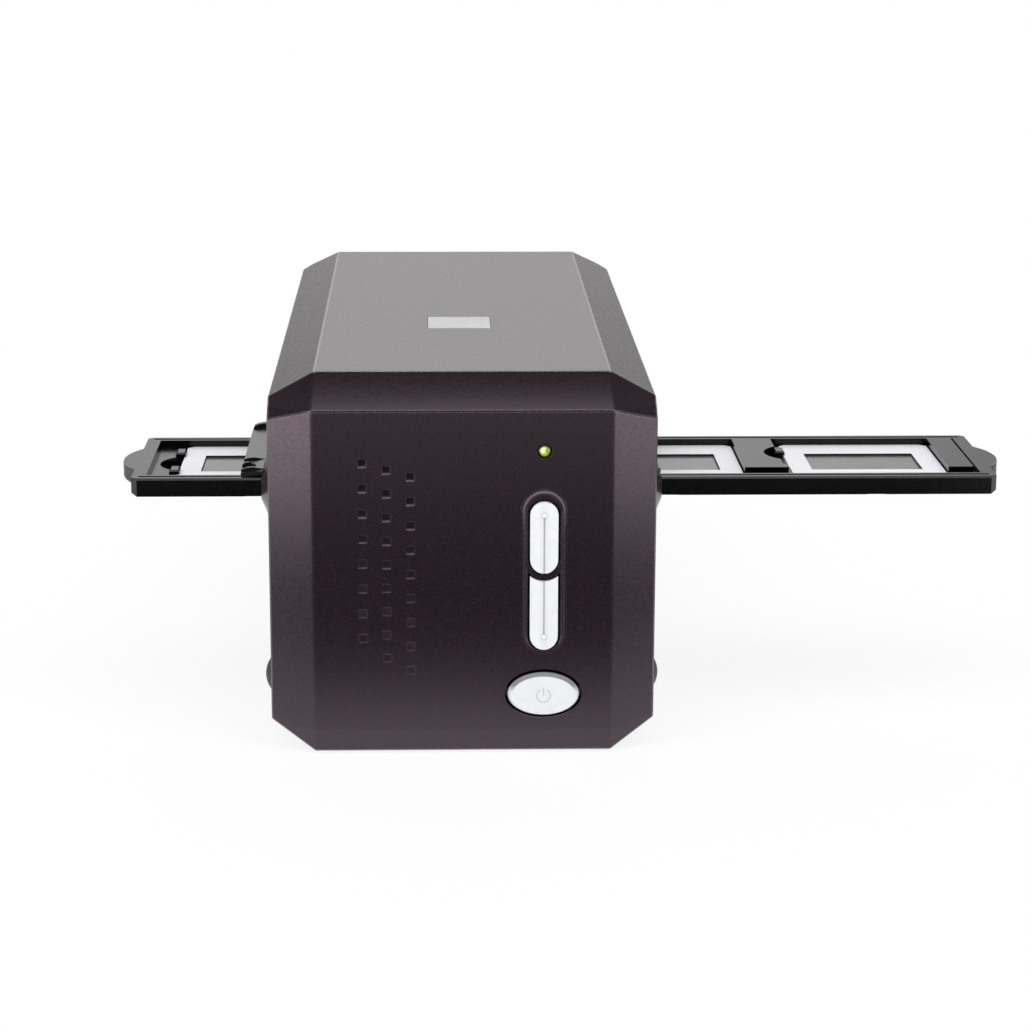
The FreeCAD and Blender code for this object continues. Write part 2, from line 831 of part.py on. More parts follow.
# Dust door: a ribbed plate on a hinge barrel, lying open on the holder
def dust_door(hinge_x):
    width = door_width
    plate = box(-door_length, 0, 0, width, -door_thickness / 2, door_thickness / 2)
    barrel = round_y(0, 0, door_barrel_radius, 0, width)
    solids = [plate, barrel]
    top = door_thickness / 2
    for share, reach, height_share in zip(door_rib_shares, door_rib_length_shares, door_rib_height_shares):
        y = width * share
        height = door_rib_height * height_share
        points = [Vector(0, y, 0), Vector(-door_length, y, 0), Vector(-door_length, y, top + height / 2),
                  Vector(-door_length * (1 - reach / 4), y, top + height),
                  Vector(-door_length * (1 - reach / 2), y, top + height),
                  Vector(-door_length * (1 - reach), y, top), Vector(0, y, top)]
        solids.append(prism(points, Vector(0, door_rib_width, 0)))
    ear = [Vector(0, 0, 0), Vector(-door_length, 0, 0), Vector(-door_length, 0, top)]
    for length_share, height_share in door_end_rib_shares:
        ear.append(Vector(-door_length * length_share, 0, top + door_end_rib_height * height_share))
    ear = prism(ear + [Vector(0, 0, top)], Vector(0, door_end_rib_width, 0))
    ear.translate(Vector(0, width - door_end_rib_width, 0))
    solids.append(ear)
    door = fuse(solids)
    door = door.cut(round_y(0, 0, door_pin_radius + shaft_clearance, -overrun, width + overrun))
    door.rotate(Vector(0, 0, 0), ALONG_Y, -door_tilt)
    door.translate(Vector(hinge_x, door_near, hinge_z))
    return door


for name, side in (("left", -1), ("right", 1)):
    hinge_x = side * (half_width + door_hinge_out)
    pin = round_y(hinge_x, hinge_z, door_pin_radius, cavity_near - door_pin_over, cavity_far + door_pin_over)
    save(name + "_slot_bezel", slot_bezel(side))
    save(name + "_dust_door", dust_door(hinge_x))
    save(name + "_door_pin", pin)

# Side bumpers: low rubber domes near the bottom front
bumpers = []
dome_radius = (bumper_radius ** 2 + bumper_proud ** 2) / (2 * bumper_proud)
for side in (-1, 1):
    ball = Part.makeSphere(dome_radius, Vector(side * (half_width + bumper_proud - dome_radius),
                                               bumper_from_front, bumper_height))
    low_x = min(side * half_width, side * (half_width + 2 * bumper_proud))
    high_x = max(side * half_width, side * (half_width + 2 * bumper_proud))
    bumpers.append(ball.common(box(low_x, high_x, 0, 2 * bumper_from_front, 0, top_z)))
save("side_bumpers", *bumpers)

# Rubber feet
save("rubber_feet", *[round_z(x, y, foot_radius, 0, bottom_z) for x, y in foot_places])

# Rear screws
rear_screws = []
for side in (-1, 1):
    place = Vector(side * rear_screw_x, shell_depth, rear_screw_height)
    head = Part.makeCylinder(screw_head_radius, screw_head_height, place, ALONG_Y.negative())
    shank = Part.makeCylinder(screw_radius, rear_screw_length, place, ALONG_Y.negative())
    rear_screws.append(fuse([head, shank]))
save("rear_screws", *rear_screws)

# Chassis: a floor with two end bulkheads and two walls that carry the film gate
deck = box(-chassis_half_width, chassis_half_width, chassis_front, chassis_rear, floor_z, chassis_top)
front_wall = box(-chassis_half_width, chassis_half_width, chassis_front, chassis_front + chassis_wall,
                 floor_z, gate_bottom)
rear_wall = box(-chassis_half_width, chassis_half_width, chassis_rear - chassis_wall, chassis_rear,
                floor_z, chassis_rear_height)
chassis_solids = [deck, front_wall, rear_wall]
for side in (-1, 1):
    outer_x = side * chassis_half_width
    inner_x = side * (chassis_half_width - chassis_wall)
    chassis_solids.append(box(min(outer_x, inner_x), max(outer_x, inner_x), chassis_front,
                              chassis_front + chassis_gate_walls, floor_z, gate_bottom))
chassis = fuse(chassis_solids)
for side in (-1, 1):
    chassis = chassis.cut(round_y(side * rod_x, rod_height, rod_radius + pin_clearance,
                                  chassis_front - overrun, chassis_rear + overrun))
chassis = chassis.cut(round_y(screw_line_x, screw_line_height, lead_screw_radius + shaft_clearance,
                              chassis_front - overrun, chassis_rear + overrun))
window_x = rod_x - chassis_window_margin
chassis = chassis.cut(box(-window_x, window_x, chassis_front - overrun, chassis_front + 2 * chassis_wall,
                          rod_height, gate_bottom - chassis_window_margin))
save("chassis", chassis)

# Film gate: a plate with the scan window and two rails that guide the holder
gate = box(-gate_half_width, gate_half_width, holder_near - slot_side_gap - gate_rail_width,
           holder_far + slot_side_gap + gate_rail_width, gate_bottom, gate_top)
rail_top = holder_top - gate_rail_sink
for y0, y1 in ((passage_near - gate_rail_width, passage_near), (passage_far, passage_far + gate_rail_width)):
    gate = gate.fuse(box(-gate_rail_half, gate_rail_half, y0, y1, gate_top, rail_top))
gate = gate.removeSplitter()
gate = gate.cut(box(-gate_window_width / 2, gate_window_width / 2, holder_middle - gate_window_height / 2,
                    holder_middle + gate_window_height / 2, gate_bottom - overrun, gate_top + overrun))
spring_low = holder_bottom + (holder_thickness - spring_height) / 2
spring_pocket = box(-spring_half, spring_half, passage_far - overrun, passage_far + spring_pocket_depth,
                    gate_top, rail_top + overrun)
gate = gate.cut(spring_pocket)
save("film_gate", gate)

# Index spring: a bent leaf that clicks into the notches of the holder
leaf_back = passage_far + spring_pocket_depth - spring_thickness
leaf_front = passage_far + spring_shoulder
leaf_tip = holder_far + seat_gap
leaf_line = [(-spring_half, leaf_back), (-spring_half + spring_bump_half, leaf_front),
             (-spring_bump_half, leaf_front), (0, leaf_tip), (spring_bump_half, leaf_front),
             (spring_half - spring_bump_half, leaf_front), (spring_half, leaf_back)]
leaf = [Vector(x, y, spring_low) for x, y in leaf_line]
leaf += [Vector(x, y + spring_thickness, spring_low) for x, y in reversed(leaf_line)]
save("index_spring", prism(leaf, Vector(0, 0, spring_height)))

# Lamp housing: a portal over the gate, with its board, lights and diffuser
lamp_low = holder_top + lamp_bottom_gap
lamp_high = lamp_low + lamp_height
lamp = box(-lamp_half_width, lamp_half_width, passage_near - gate_rail_width, passage_far + gate_rail_width,
           lamp_low, lamp_high)
for y0, y1 in ((passage_near - gate_rail_width, passage_near - lamp_wall),
               (passage_far + lamp_wall, passage_far + gate_rail_width)):
    for side in (-1, 1):
        x0 = min(side * lamp_half_width, side * spring_half)
        x1 = max(side * lamp_half_width, side * spring_half)
        lamp = lamp.fuse(box(x0, x1, y0, y1, rail_top, lamp_low))
lamp = lamp.removeSplitter()
lamp_ceiling = lamp_low + lamp_cavity_height
lamp = lamp.cut(box(-lamp_cavity_width / 2, lamp_cavity_width / 2, holder_middle - lamp_cavity_depth / 2,
                    holder_middle + lamp_cavity_depth / 2, lamp_low - overrun, lamp_ceiling))
save("lamp_housing", lamp)
glow_half_x = lamp_cavity_width / 2 + diffuser_overlap
glow_half_y = lamp_cavity_depth / 2 + diffuser_overlap
save("lamp_diffuser", box(-glow_half_x, glow_half_x, holder_middle - glow_half_y, holder_middle + glow_half_y,
                          lamp_low - diffuser_thickness, lamp_low))
lamp_board_low = lamp_ceiling - lamp_board_thickness
lamp_board = box(-lamp_board_width / 2, lamp_board_width / 2, holder_middle - lamp_board_depth / 2,
                 holder_middle + lamp_board_depth / 2, lamp_board_low, lamp_ceiling)
lights = []
for index in range(lamp_led_count):
    x = lamp_board_width * ((index + 0.5) / lamp_led_count - 0.5)
    lights.append(box(x - lamp_led_side / 2, x + lamp_led_side / 2, holder_middle - lamp_led_side / 2,
                      holder_middle + lamp_led_side / 2, lamp_board_low - lamp_led_height, lamp_board_low))
save("lamp_board", lamp_board)
save("lamp_lights", *lights)

# Guide rods and lead screw
rods = []
for side in (-1, 1):
    rods.append(round_y(side * rod_x, rod_height, rod_radius, chassis_front, chassis_rear))
save("guide_rods", *rods)
save("lead_screw", round_y(screw_line_x, screw_line_height, lead_screw_radius, chassis_front,
                           chassis_rear + motor_shaft_depth - seat_gap))

# Stepper motor on the rear bulkhead
motor = round_y(screw_line_x, screw_line_height, motor_radius, chassis_rear, chassis_rear + motor_length)
motor_low = max(screw_line_height - motor_flange_half, chassis_top)
motor_plate = box(screw_line_x - motor_flange_half, screw_line_x + motor_flange_half, chassis_rear,
                  chassis_rear + motor_flange_thickness, motor_low, screw_line_height + motor_flange_half)
motor = fuse([motor, motor_plate])
save("stepper_motor", motor.cut(round_y(screw_line_x, screw_line_height, lead_screw_radius + shaft_clearance,
                                        chassis_rear - overrun, chassis_rear + motor_shaft_depth)))

# Scan carriage: an open tray with ears for the bushes and wedges for the mirror
carriage_front = chassis_front + chassis_wall + carriage_front_gap
carriage_rear = carriage_front + carriage_length
carriage_top = carriage_bottom + carriage_height
scan_line = holder_middle - carriage_travel / 2
tub = box(-carriage_half_width, carriage_half_width, carriage_front, carriage_rear,
          carriage_bottom, carriage_top)
ear_fronts = (carriage_front + ear_from_end, carriage_rear - ear_from_end - bush_length)
bushes = []
bores = []
for y in ear_fronts:
    ear_x = rod_x + bush_radius + ear_wall
    tub = tub.fuse(box(-ear_x, ear_x, y, y + bush_length,
                       rod_height - ear_half_height, rod_height + ear_half_height))
    bush = round_y(-rod_x, rod_height, bush_radius - pin_clearance, y, y + bush_length)
    bushes.append(bush.cut(round_y(-rod_x, rod_height, rod_radius + shaft_clearance, y - overrun,
                                   y + bush_length + overrun)))
    bores.append(round_y(-rod_x, rod_height, bush_radius, y - overrun, y + bush_length + overrun))
    bores.append(box(rod_x - rod_radius - fork_gap, far_x, y - overrun, y + bush_length + overrun,
                     rod_height - rod_radius - fork_gap, rod_height + rod_radius + fork_gap))
inside = box(-carriage_half_width + carriage_wall, carriage_half_width - carriage_wall,
             carriage_front + carriage_wall, carriage_rear - carriage_wall,
             carriage_bottom + carriage_wall, carriage_top + overrun)
tub = tub.cut(Part.makeCompound([inside] + bores))
slope_sum = scan_line + optic_axis_height
wedge_sum = slope_sum - mirror_thickness * math.sqrt(2)
wedge_floor = carriage_bottom + carriage_wall
wedge_front = carriage_front + carriage_wall
for side in (-1, 1):
    x = min(side * mirror_half_width, side * (mirror_half_width - mirror_wedge_width))
    wedge = prism([Vector(x, wedge_front, wedge_floor), Vector(x, wedge_front, wedge_sum - wedge_front),
                   Vector(x, wedge_sum - wedge_floor, wedge_floor)], Vector(mirror_wedge_width, 0, 0))
    tub = tub.fuse(wedge)
tub = tub.removeSplitter()
save("carriage_body", tub)
save("carriage_bushes", *bushes)
lid_top = carriage_top + carriage_cover_thickness
slit = box(-scan_slit_width / 2, scan_slit_width / 2, scan_line - scan_slit_height / 2,
           scan_line + scan_slit_height / 2, carriage_top - overrun, lid_top + overrun)
lid = box(-carriage_half_width, carriage_half_width, carriage_front, carriage_rear, carriage_top, lid_top)
save("carriage_cover", lid.cut(slit))

# Fold mirror on its wedges
mirror = box(-mirror_half_width, mirror_half_width, -mirror_length / 2, mirror_length / 2,
             -mirror_thickness, 0)
mirror.rotate(Vector(0, 0, 0), ALONG_X, -45)
mirror.translate(Vector(0, scan_line, optic_axis_height))
save("fold_mirror", mirror)

# Lens barrel, its glass and the clamp that carries it
lens_front = scan_line + lens_from_mirror
lens_rear = lens_front + lens_length
barrel = round_y(0, optic_axis_height, lens_radius, lens_front, lens_rear)
barrel = barrel.cut(round_y(0, optic_axis_height, lens_glass_radius, lens_front - overrun,
                            lens_rear + overrun))
save("lens_barrel", barrel)
glass_sphere = (lens_glass_radius ** 2 + lens_glass_bulge ** 2) / (2 * lens_glass_bulge)
glass_face = lens_front + lens_glass_thickness
glass = round_y(0, optic_axis_height, lens_glass_radius - pin_clearance, lens_front, glass_face)
glass = glass.common(Part.makeSphere(glass_sphere, Vector(0, lens_front + glass_sphere, optic_axis_height)))
save("lens_glass", glass)
clamp_y = lens_front + (lens_length - clamp_length) / 2
clamp = box(-clamp_half_width, clamp_half_width, clamp_y, clamp_y + clamp_length, wedge_floor,
            optic_axis_height + lens_radius + carriage_wall)
save("lens_clamp", clamp.cut(round_y(0, optic_axis_height, lens_radius + pin_clearance, clamp_y - overrun,
                                     clamp_y + clamp_length + overrun)))

# Sensor board with the line sensor
sensor_face = carriage_rear - carriage_wall - sensor_board_from_end
save("sensor_board", box(-sensor_board_half_width, sensor_board_half_width, sensor_face,
                         sensor_face + sensor_board_thickness, wedge_floor, carriage_top - carriage_wall))
save("line_sensor", box(-sensor_half_width, sensor_half_width, sensor_face - sensor_thickness, sensor_face,
                        optic_axis_height - sensor_height / 2, optic_axis_height + sensor_height / 2))

# Drive nut under the carriage
nut_y = carriage_front + nut_from_front
nut = box(screw_line_x - nut_half_width, screw_line_x + nut_half_width, nut_y, nut_y + nut_length,
          screw_line_height - nut_under_screw, carriage_bottom)
save("drive_nut", nut.cut(round_y(screw_line_x, screw_line_height, lead_screw_radius + shaft_clearance,
                                  nut_y - overrun, nut_y + nut_length + overrun)))

# Main board, its chips and the two sockets
save("main_board", box(-board_half_width, board_half_width, board_front, board_rear,
                       board_height, board_height + board_thickness))
chips = []
for across, along, size in chip_shares:
    x = board_half_width * (2 * across - 1)
    y = board_front + board_length * along
    half = board_length * size / 2
    chips.append(box(x - half, x + half, y - half, y + half, socket_low, socket_low + chip_height))
save("board_chips", *chips)
usb_middle = socket_low + usb_height / 2
usb = box(usb_x - usb_width / 2, usb_x + usb_width / 2, socket_end - usb_length, socket_end,
          socket_low, socket_low + usb_height)
usb = usb.cut(box(usb_x - usb_mouth_width / 2, usb_x + usb_mouth_width / 2, socket_end - usb_depth,
                  socket_end + overrun, usb_middle - usb_mouth_height / 2, usb_middle + usb_mouth_height / 2))
tongue = box(usb_x - usb_tongue_width / 2, usb_x + usb_tongue_width / 2,
             socket_end - usb_depth, socket_end - usb_tongue_sink,
             usb_middle - usb_tongue_height / 2, usb_middle + usb_tongue_height / 2)
save("usb_socket", fuse([usb, tongue]))
jack_middle = socket_low + jack_height / 2
jack = box(jack_x - jack_width / 2, jack_x + jack_width / 2, socket_end - jack_length, socket_end,
           socket_low, socket_low + jack_height)
jack = jack.cut(round_y(jack_x, jack_middle, jack_bore_radius, socket_end - jack_depth, socket_end + overrun))
centre_pin = round_y(jack_x, jack_middle, jack_pin_radius, socket_end - jack_depth,
                     socket_end - jack_pin_sink)
save("power_jack", fuse([jack, centre_pin]))

# Slide holder frame: a bar with cut corners, a finger lobe at each end and a line along each rail
holder_left = holder_centre - holder_length / 2
holder_right = holder_centre + holder_length / 2
lobe_radius = (lobe_half_chord ** 2 + lobe_reach ** 2) / (2 * lobe_reach)
frame = box(holder_left, holder_right, holder_near, holder_far, holder_bottom, holder_top)
upright = [edge for edge in frame.Edges if edge.BoundBox.ZLength > holder_thickness / 2]
frame = frame.makeChamfer(holder_corner, upright)
long_half = holder_length / 2
top_edges = [edge for edge in frame.Edges
             if edge.BoundBox.XLength > long_half and edge.CenterOfMass.z > holder_top - seat_gap]
frame = frame.makeChamfer(holder_edge_bevel, top_edges)
for end_x, side in ((holder_left, -1), (holder_right, 1)):
    inner_x = end_x - side * holder_corner
    outer_x = end_x + side * lobe_reach
    step = [(end_x, holder_bottom), (inner_x, holder_bottom), (end_x, holder_bottom + holder_end_step)]
    frame = frame.cut(prism([Vector(x, holder_near, z) for x, z in step], Vector(0, holder_width, 0)))
    disc = round_z(end_x + side * (lobe_reach - lobe_radius), holder_middle, lobe_radius,
                   holder_bottom + lobe_drop, holder_top - lobe_drop)
    keep = box(min(inner_x, outer_x), max(inner_x, outer_x), holder_near, holder_far,
               holder_bottom, holder_top)
    frame = frame.fuse(disc.common(keep))
frame = frame.removeSplitter()
slide_centres = [(index - 1) * slide_pitch for index in range(4)]
pocket_half = slide_side / 2 + slide_clearance
pocket_near = holder_middle - pocket_half
pocket_far = holder_middle + pocket_half
rail_far = holder_far - holder_rail
recess_left = holder_left + holder_end_strip
recess_right = holder_right - holder_end_strip
frame_cuts = [box(recess_left, recess_right, pocket_near, pocket_far, slide_top, holder_top + overrun)]
mark_high = holder_top - 2 * holder_edge_bevel
for x in slide_centres:
    frame_cuts.append(box(x - pocket_half, x + pocket_half, pocket_near, pocket_far,
                          slide_bottom, holder_top + overrun))
    frame_cuts.append(box(x - holder_window_width / 2, x + holder_window_width / 2,
                          holder_middle - holder_window_height / 2, holder_middle + holder_window_height / 2,
                          holder_bottom - overrun, slide_bottom + overrun))
    frame_cuts.append(box(x - near_mark_width / 2, x + near_mark_width / 2, holder_near - overrun,
                          holder_near + near_mark_depth, holder_bottom - overrun, mark_high))
    frame_cuts.append(prism([Vector(x - index_notch_width / 2, holder_far, holder_bottom - overrun),
                             Vector(x + index_notch_width / 2, holder_far, holder_bottom - overrun),
                             Vector(x, holder_far - index_notch_depth, holder_bottom - overrun)],
                            Vector(0, 0, holder_thickness + 2 * overrun)))
for y in (holder_near + rail_groove_inset, holder_far - rail_groove_inset - rail_groove_width):
    frame_cuts.append(box(holder_left + rail_groove_inset, holder_right - rail_groove_inset, y,
                          y + rail_groove_width, holder_top - rail_groove_depth, holder_top + overrun))
for cut in frame_cuts:
    frame = frame.cut(cut)


# Finger notch that bites into the left edge of a slide's place from its middle line y
def finger_notch(edge_x, y):
    low = holder_bottom - overrun
    high = holder_top + overrun
    disc = round_z(edge_x - notch_depth + notch_radius, y, notch_radius, low, high)
    return disc.common(box(edge_x - notch_depth, edge_x + seat_gap, holder_near, holder_far, low, high))


# Small hook that reaches over the edge of a slide, with its upper edges bevelled and a root in the frame
def slide_hook(edge_x, y):
    x0 = edge_x + hook_reach - hook_length
    y0 = y - hook_width / 2
    y1 = y + hook_width / 2
    base = slide_top + hook_gap
    hook = box(x0, edge_x + hook_reach, y0, y1, base, base + hook_height)
    top_rim = [edge for edge in hook.Edges if edge.BoundBox.ZMin > base + hook_height / 2]
    hook = hook.makeChamfer(hook_bevel, top_rim)
    return [hook, box(x0, edge_x - seat_gap, y0, y1, slide_bottom, base + hook_height / 2)]


# Divider plates between the slides and at the right end, each with a finger notch but the last
notches = []
hooks = []
plates = []
for left, right in zip(slide_centres, slide_centres[1:]):
    x1 = right - slide_side / 2 - divider_right_gap
    y0 = pocket_near + divider_near_gap
    plates.append(box(left + slide_side / 2 + divider_left_gap, x1, y0, rail_far, slide_top, holder_top))
    plates.append(box(x1, x1 + arm_reach, y0, y0 + arm_width, slide_top + hook_gap, holder_top))
    notches.append(finger_notch(right - pocket_half - seat_gap, (y0 + rail_far) / 2))
    hooks += slide_hook(right - pocket_half, (y0 + rail_far) / 2 + finger_hook_offset)
plates.append(box(slide_centres[3] + slide_side / 2 + divider_left_gap, recess_right - divider_end_gap,
                  pocket_near + divider_near_gap, rail_far, slide_top, holder_top))
first_edge = slide_centres[0] - pocket_half
notches.append(finger_notch(first_edge - seat_gap, holder_middle))
for offset in hook_offsets:
    hooks += slide_hook(first_edge, holder_middle + offset)
frame = fuse([frame] + plates)
for notch in notches:
    frame = frame.cut(notch)
save("holder_frame", fuse([frame] + hooks))

# Mounted slides: a 50 mm frame with a film chip held in a step of its window
for index, x in enumerate(slide_centres):
    half = slide_side / 2
    mount = box(x - half, x + half, holder_middle - half, holder_middle + half, slide_bottom, slide_top)
    upright = [edge for edge in mount.Edges if edge.BoundBox.ZLength > slide_thickness / 2]
    mount = mount.makeChamfer(slide_corner, upright)
    window_x = slide_window_width / 2
    window_y = slide_window_height / 2
    mount = mount.cut(box(x - window_x, x + window_x, holder_middle - window_y, holder_middle + window_y,
                          slide_bottom - overrun, slide_top + overrun))
    film_top = slide_top - film_sink
    chip_x = window_x + film_overlap
    chip_y = window_y + film_overlap
    chip = box(x - chip_x, x + chip_x, holder_middle - chip_y, holder_middle + chip_y,
               film_top - film_thickness, film_top)
    mount = mount.cut(chip)
    save("slide_mount_" + str(index + 1), mount)
    save("film_chip_" + str(index + 1), chip)

# Places of the joints in the shared frame
for name, side in (("left", -1), ("right", 1)):
    print(name, "door hinge", Vector(side * (half_width + door_hinge_out), door_near, hinge_z) + origin_shift)
print("lead screw", Vector(screw_line_x, chassis_front, screw_line_height) + origin_shift)
print("screw turns over the travel", carriage_travel / lead)
print("foot", Vector(-foot_x, foot_from_end, 0) + origin_shift)
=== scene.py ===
import math
import bmesh
import bpy
from mathutils import Matrix, Vector


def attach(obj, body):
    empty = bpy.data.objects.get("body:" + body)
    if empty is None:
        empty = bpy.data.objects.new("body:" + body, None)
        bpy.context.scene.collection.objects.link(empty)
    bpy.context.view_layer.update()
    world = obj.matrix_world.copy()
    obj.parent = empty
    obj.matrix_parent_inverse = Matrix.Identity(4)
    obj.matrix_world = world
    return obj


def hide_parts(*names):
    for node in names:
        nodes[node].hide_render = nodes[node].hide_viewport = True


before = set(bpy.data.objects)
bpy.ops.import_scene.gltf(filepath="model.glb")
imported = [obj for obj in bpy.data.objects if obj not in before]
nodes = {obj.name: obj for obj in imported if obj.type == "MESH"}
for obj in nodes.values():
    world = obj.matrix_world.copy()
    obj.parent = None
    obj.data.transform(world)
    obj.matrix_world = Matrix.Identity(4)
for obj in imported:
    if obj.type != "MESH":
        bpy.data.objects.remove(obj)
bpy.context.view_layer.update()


# Housing: four moulded shells in dark aubergine-black ABS, which meet flush over hidden lips.
# The mould is spark-eroded, which leaves a fine even grain with a satin, faintly purple sheen.
# The colour drifts a little along the flow, and the rounded edges carry a painted pale highlight.
SHELL_BLACK = (0.0096, 0.0048, 0.0072)
PURPLE_SHEEN = (1.0, 0.80, 0.95, 1.0)
SHELL_X, SHELL_Z = -0.03305, 0.0604

# Painted highlight: every edge is painted pale, apart from those in the middle of the face.
# The top's two long edges get a fine painted highlight line.
EDGE_HIGHLIGHT_GREY = (0.36, 0.33, 0.35)
EDGE_RADIUS, EDGE_SAMPLES = 0.0005, 6
EDGE_TURN, EDGE_HIGHLIGHT_LEVEL = (0.004, 0.050), 0.45
FACE_HALF_WIDTH, FACE_HALF_HEIGHT, FACE_BACK = (0.040, 0.042), (0.045, 0.047), (-0.1325, -0.1315)
TOP_HALF_WIDTH, TOP_LINE, TOP_LEVEL = 0.0459, (0.00015, 0.00055), (0.1194, 0.1197)

# Small square pits in the face: painted shade on the floors, painted highlight on lower edges, less
# further down.
DOTS_X, DOTS_HALF_WIDTH, DOTS_HALF_HEIGHT = -0.0567, (0.0115, 0.0120), (0.0405, 0.0425)
DOTS_BACK, PIT_FLOOR = (-0.1315, -0.1312), (-0.1332, -0.1326)
PIT_SHADE_BLACK, PIT_ROUGHNESS = (0.002, 0.001, 0.0015), 0.75
DOT_EDGE_TILT, DOT_EDGE_HEIGHT, DOT_EDGE_LIGHT = (0.10, 0.45), (0.035, 0.085), 0.32

# The raised collar round the scan buttons, with a rounded crest in painted highlight, most at its
# top.
COLLAR_X, COLLAR_LOW, COLLAR_HIGH, COLLAR_FOOT = -0.00795, 0.04015, 0.07855, (-0.13345, -0.13342)
COLLAR_CREST, COLLAR_HALF, COLLAR_ROLL = 0.0061, 0.00095, 0.0006
COLLAR_HIGHLIGHT_LINE, COLLAR_HIGHLIGHT_HALF = 0.0064, (0.0001, 0.0006)
COLLAR_HIGHLIGHT_HEIGHT, COLLAR_HIGHLIGHT_LEVEL = (0.070, 0.083), (0.05, 0.26)

# The facet between the face and the top is moulded with a slight crown.
FACET_TOP, FACET_FALL, FACET_CROWN, FACET_BACK = 0.120, 0.0102, 0.0014, (-0.1195, -0.1185)

# What all mouldings share: clouds of colour along the flow, and a sheen that changes a little.
PATTERN_MIDDLE, EVEN = (0.3, 0.7), (1.0, 1.0, 1.0)
FLOW_SCALE, FLOW_DETAIL = 420.0, 4.0
SHEEN_SCALE, SHEEN_DETAIL, SHEEN_CHANGE = 900.0, 2.0, 0.02

# Where the Mix node has its two colours, and the colour that it makes.
COLOUR_A, COLOUR_B, MIXED_COLOUR = 6, 7, 2


def start_finish(name):
    material = bpy.data.materials.new(name)
    material.use_nodes = True
    return material, material.node_tree, material.node_tree.nodes["Principled BSDF"]


def is_wire(value):
    return hasattr(value, "is_output")


def add_node(tree, kind, inputs, output=0, **settings):
    node = tree.nodes.new(kind)
    for setting, value in settings.items():
        setattr(node, setting, value)
    for socket, value in inputs.items():
        if is_wire(value):
            tree.links.new(value, node.inputs[socket])
        else:
            node.inputs[socket].default_value = value
    return node.outputs[output]


def place_of(tree):
    return add_node(tree, "ShaderNodeTexCoord", {}, "Object")


def split(tree, arrow):
    return add_node(tree, "ShaderNodeSeparateXYZ", {"Vector": arrow}).node.outputs


def noise(tree, scale, detail=3.0, stretch=EVEN):
    place = add_node(tree, "ShaderNodeMapping", {"Vector": place_of(tree), "Scale": stretch})
    pattern = {"Vector": place, "Scale": scale, "Detail": detail}
    return add_node(tree, "ShaderNodeTexNoise", pattern, "Fac")


def ramp(tree, value, low, high, to_low=0.0, to_high=1.0):
    limits = {"Value": value, "From Min": low, "From Max": high,
              "To Min": to_low, "To Max": to_high}
    return add_node(tree, "ShaderNodeMapRange", limits, interpolation_type="SMOOTHSTEP")


def fade(tree, value, low, high):
    return ramp(tree, value, low, high, 1.0, 0.0)


def band(tree, value, rise, fall):
    return product(tree, ramp(tree, value, *rise), fade(tree, value, *fall))


def spread(tree, pattern, to_low=0.0, to_high=1.0):
    return ramp(tree, pattern, *PATTERN_MIDDLE, to_low, to_high)


def maths(tree, operation, first, second=0.0):
    return add_node(tree, "ShaderNodeMath", {0: first, 1: second}, operation=operation)


def arrow_maths(tree, operation, first, second=(0.0, 0.0, 0.0), output="Value"):
    pair = {0: first, 1: second}
    return add_node(tree, "ShaderNodeVectorMath", pair, output, operation=operation)


def product(tree, first, *others):
    for other in others:
        first = maths(tree, "MULTIPLY", first, other)
    return first


def most(tree, first, *others):
    for other in others:
        first = maths(tree, "MAXIMUM", first, other)
    return first


def held(tree, value, low=0.0, high=1.0):
    return add_node(tree, "ShaderNodeClamp", {"Value": value, "Min": low, "Max": high})


def away_from(tree, value, middle):
    return maths(tree, "ABSOLUTE", maths(tree, "SUBTRACT", value, middle))


def arched(tree, value, middle, half):
    part = maths(tree, "DIVIDE", maths(tree, "SUBTRACT", value, middle), half)
    return held(tree, maths(tree, "SUBTRACT", 1.0, product(tree, part, part)))


def blend_colours(tree, factor, first, second):
    first, second = (colour if is_wire(colour) else (*colour, 1) for colour in (first, second))
    mixed = {0: factor, COLOUR_A: first, COLOUR_B: second}
    return add_node(tree, "ShaderNodeMix", mixed, MIXED_COLOUR, data_type="RGBA")


def relief(tree, height, depth, strength=1.0, under=None):
    inputs = {"Height": height, "Strength": strength, "Distance": depth}
    if under is not None:
        inputs["Normal"] = under
    return add_node(tree, "ShaderNodeBump", inputs, "Normal")


def moulded(name, colour, drift, roughness, grain_scale, grain_depth, specular=0.5, stretch=EVEN,
            grain_strength=0.6):
    material, tree, surface = start_finish(name)
    flow = spread(tree, noise(tree, FLOW_SCALE, FLOW_DETAIL, stretch))
    dark = [part * (1 - drift) for part in colour]
    light = [part * (1 + drift) for part in colour]
    shade = blend_colours(tree, flow, dark, light)
    tree.links.new(shade, surface.inputs["Base Color"])
    sheen = spread(tree, noise(tree, SHEEN_SCALE, SHEEN_DETAIL, stretch), roughness - SHEEN_CHANGE,
                   roughness + SHEEN_CHANGE)
    tree.links.new(sheen, surface.inputs["Roughness"])
    grain = relief(tree, noise(tree, grain_scale), grain_depth, grain_strength)
    tree.links.new(grain, surface.inputs["Normal"])
    surface.inputs["Specular IOR Level"].default_value = specular
    return material, tree, surface, shade


def finish_nodes(material, *names):
    for name in names:
        slots = nodes[name].data.materials
        slots.clear()
        slots.append(material)
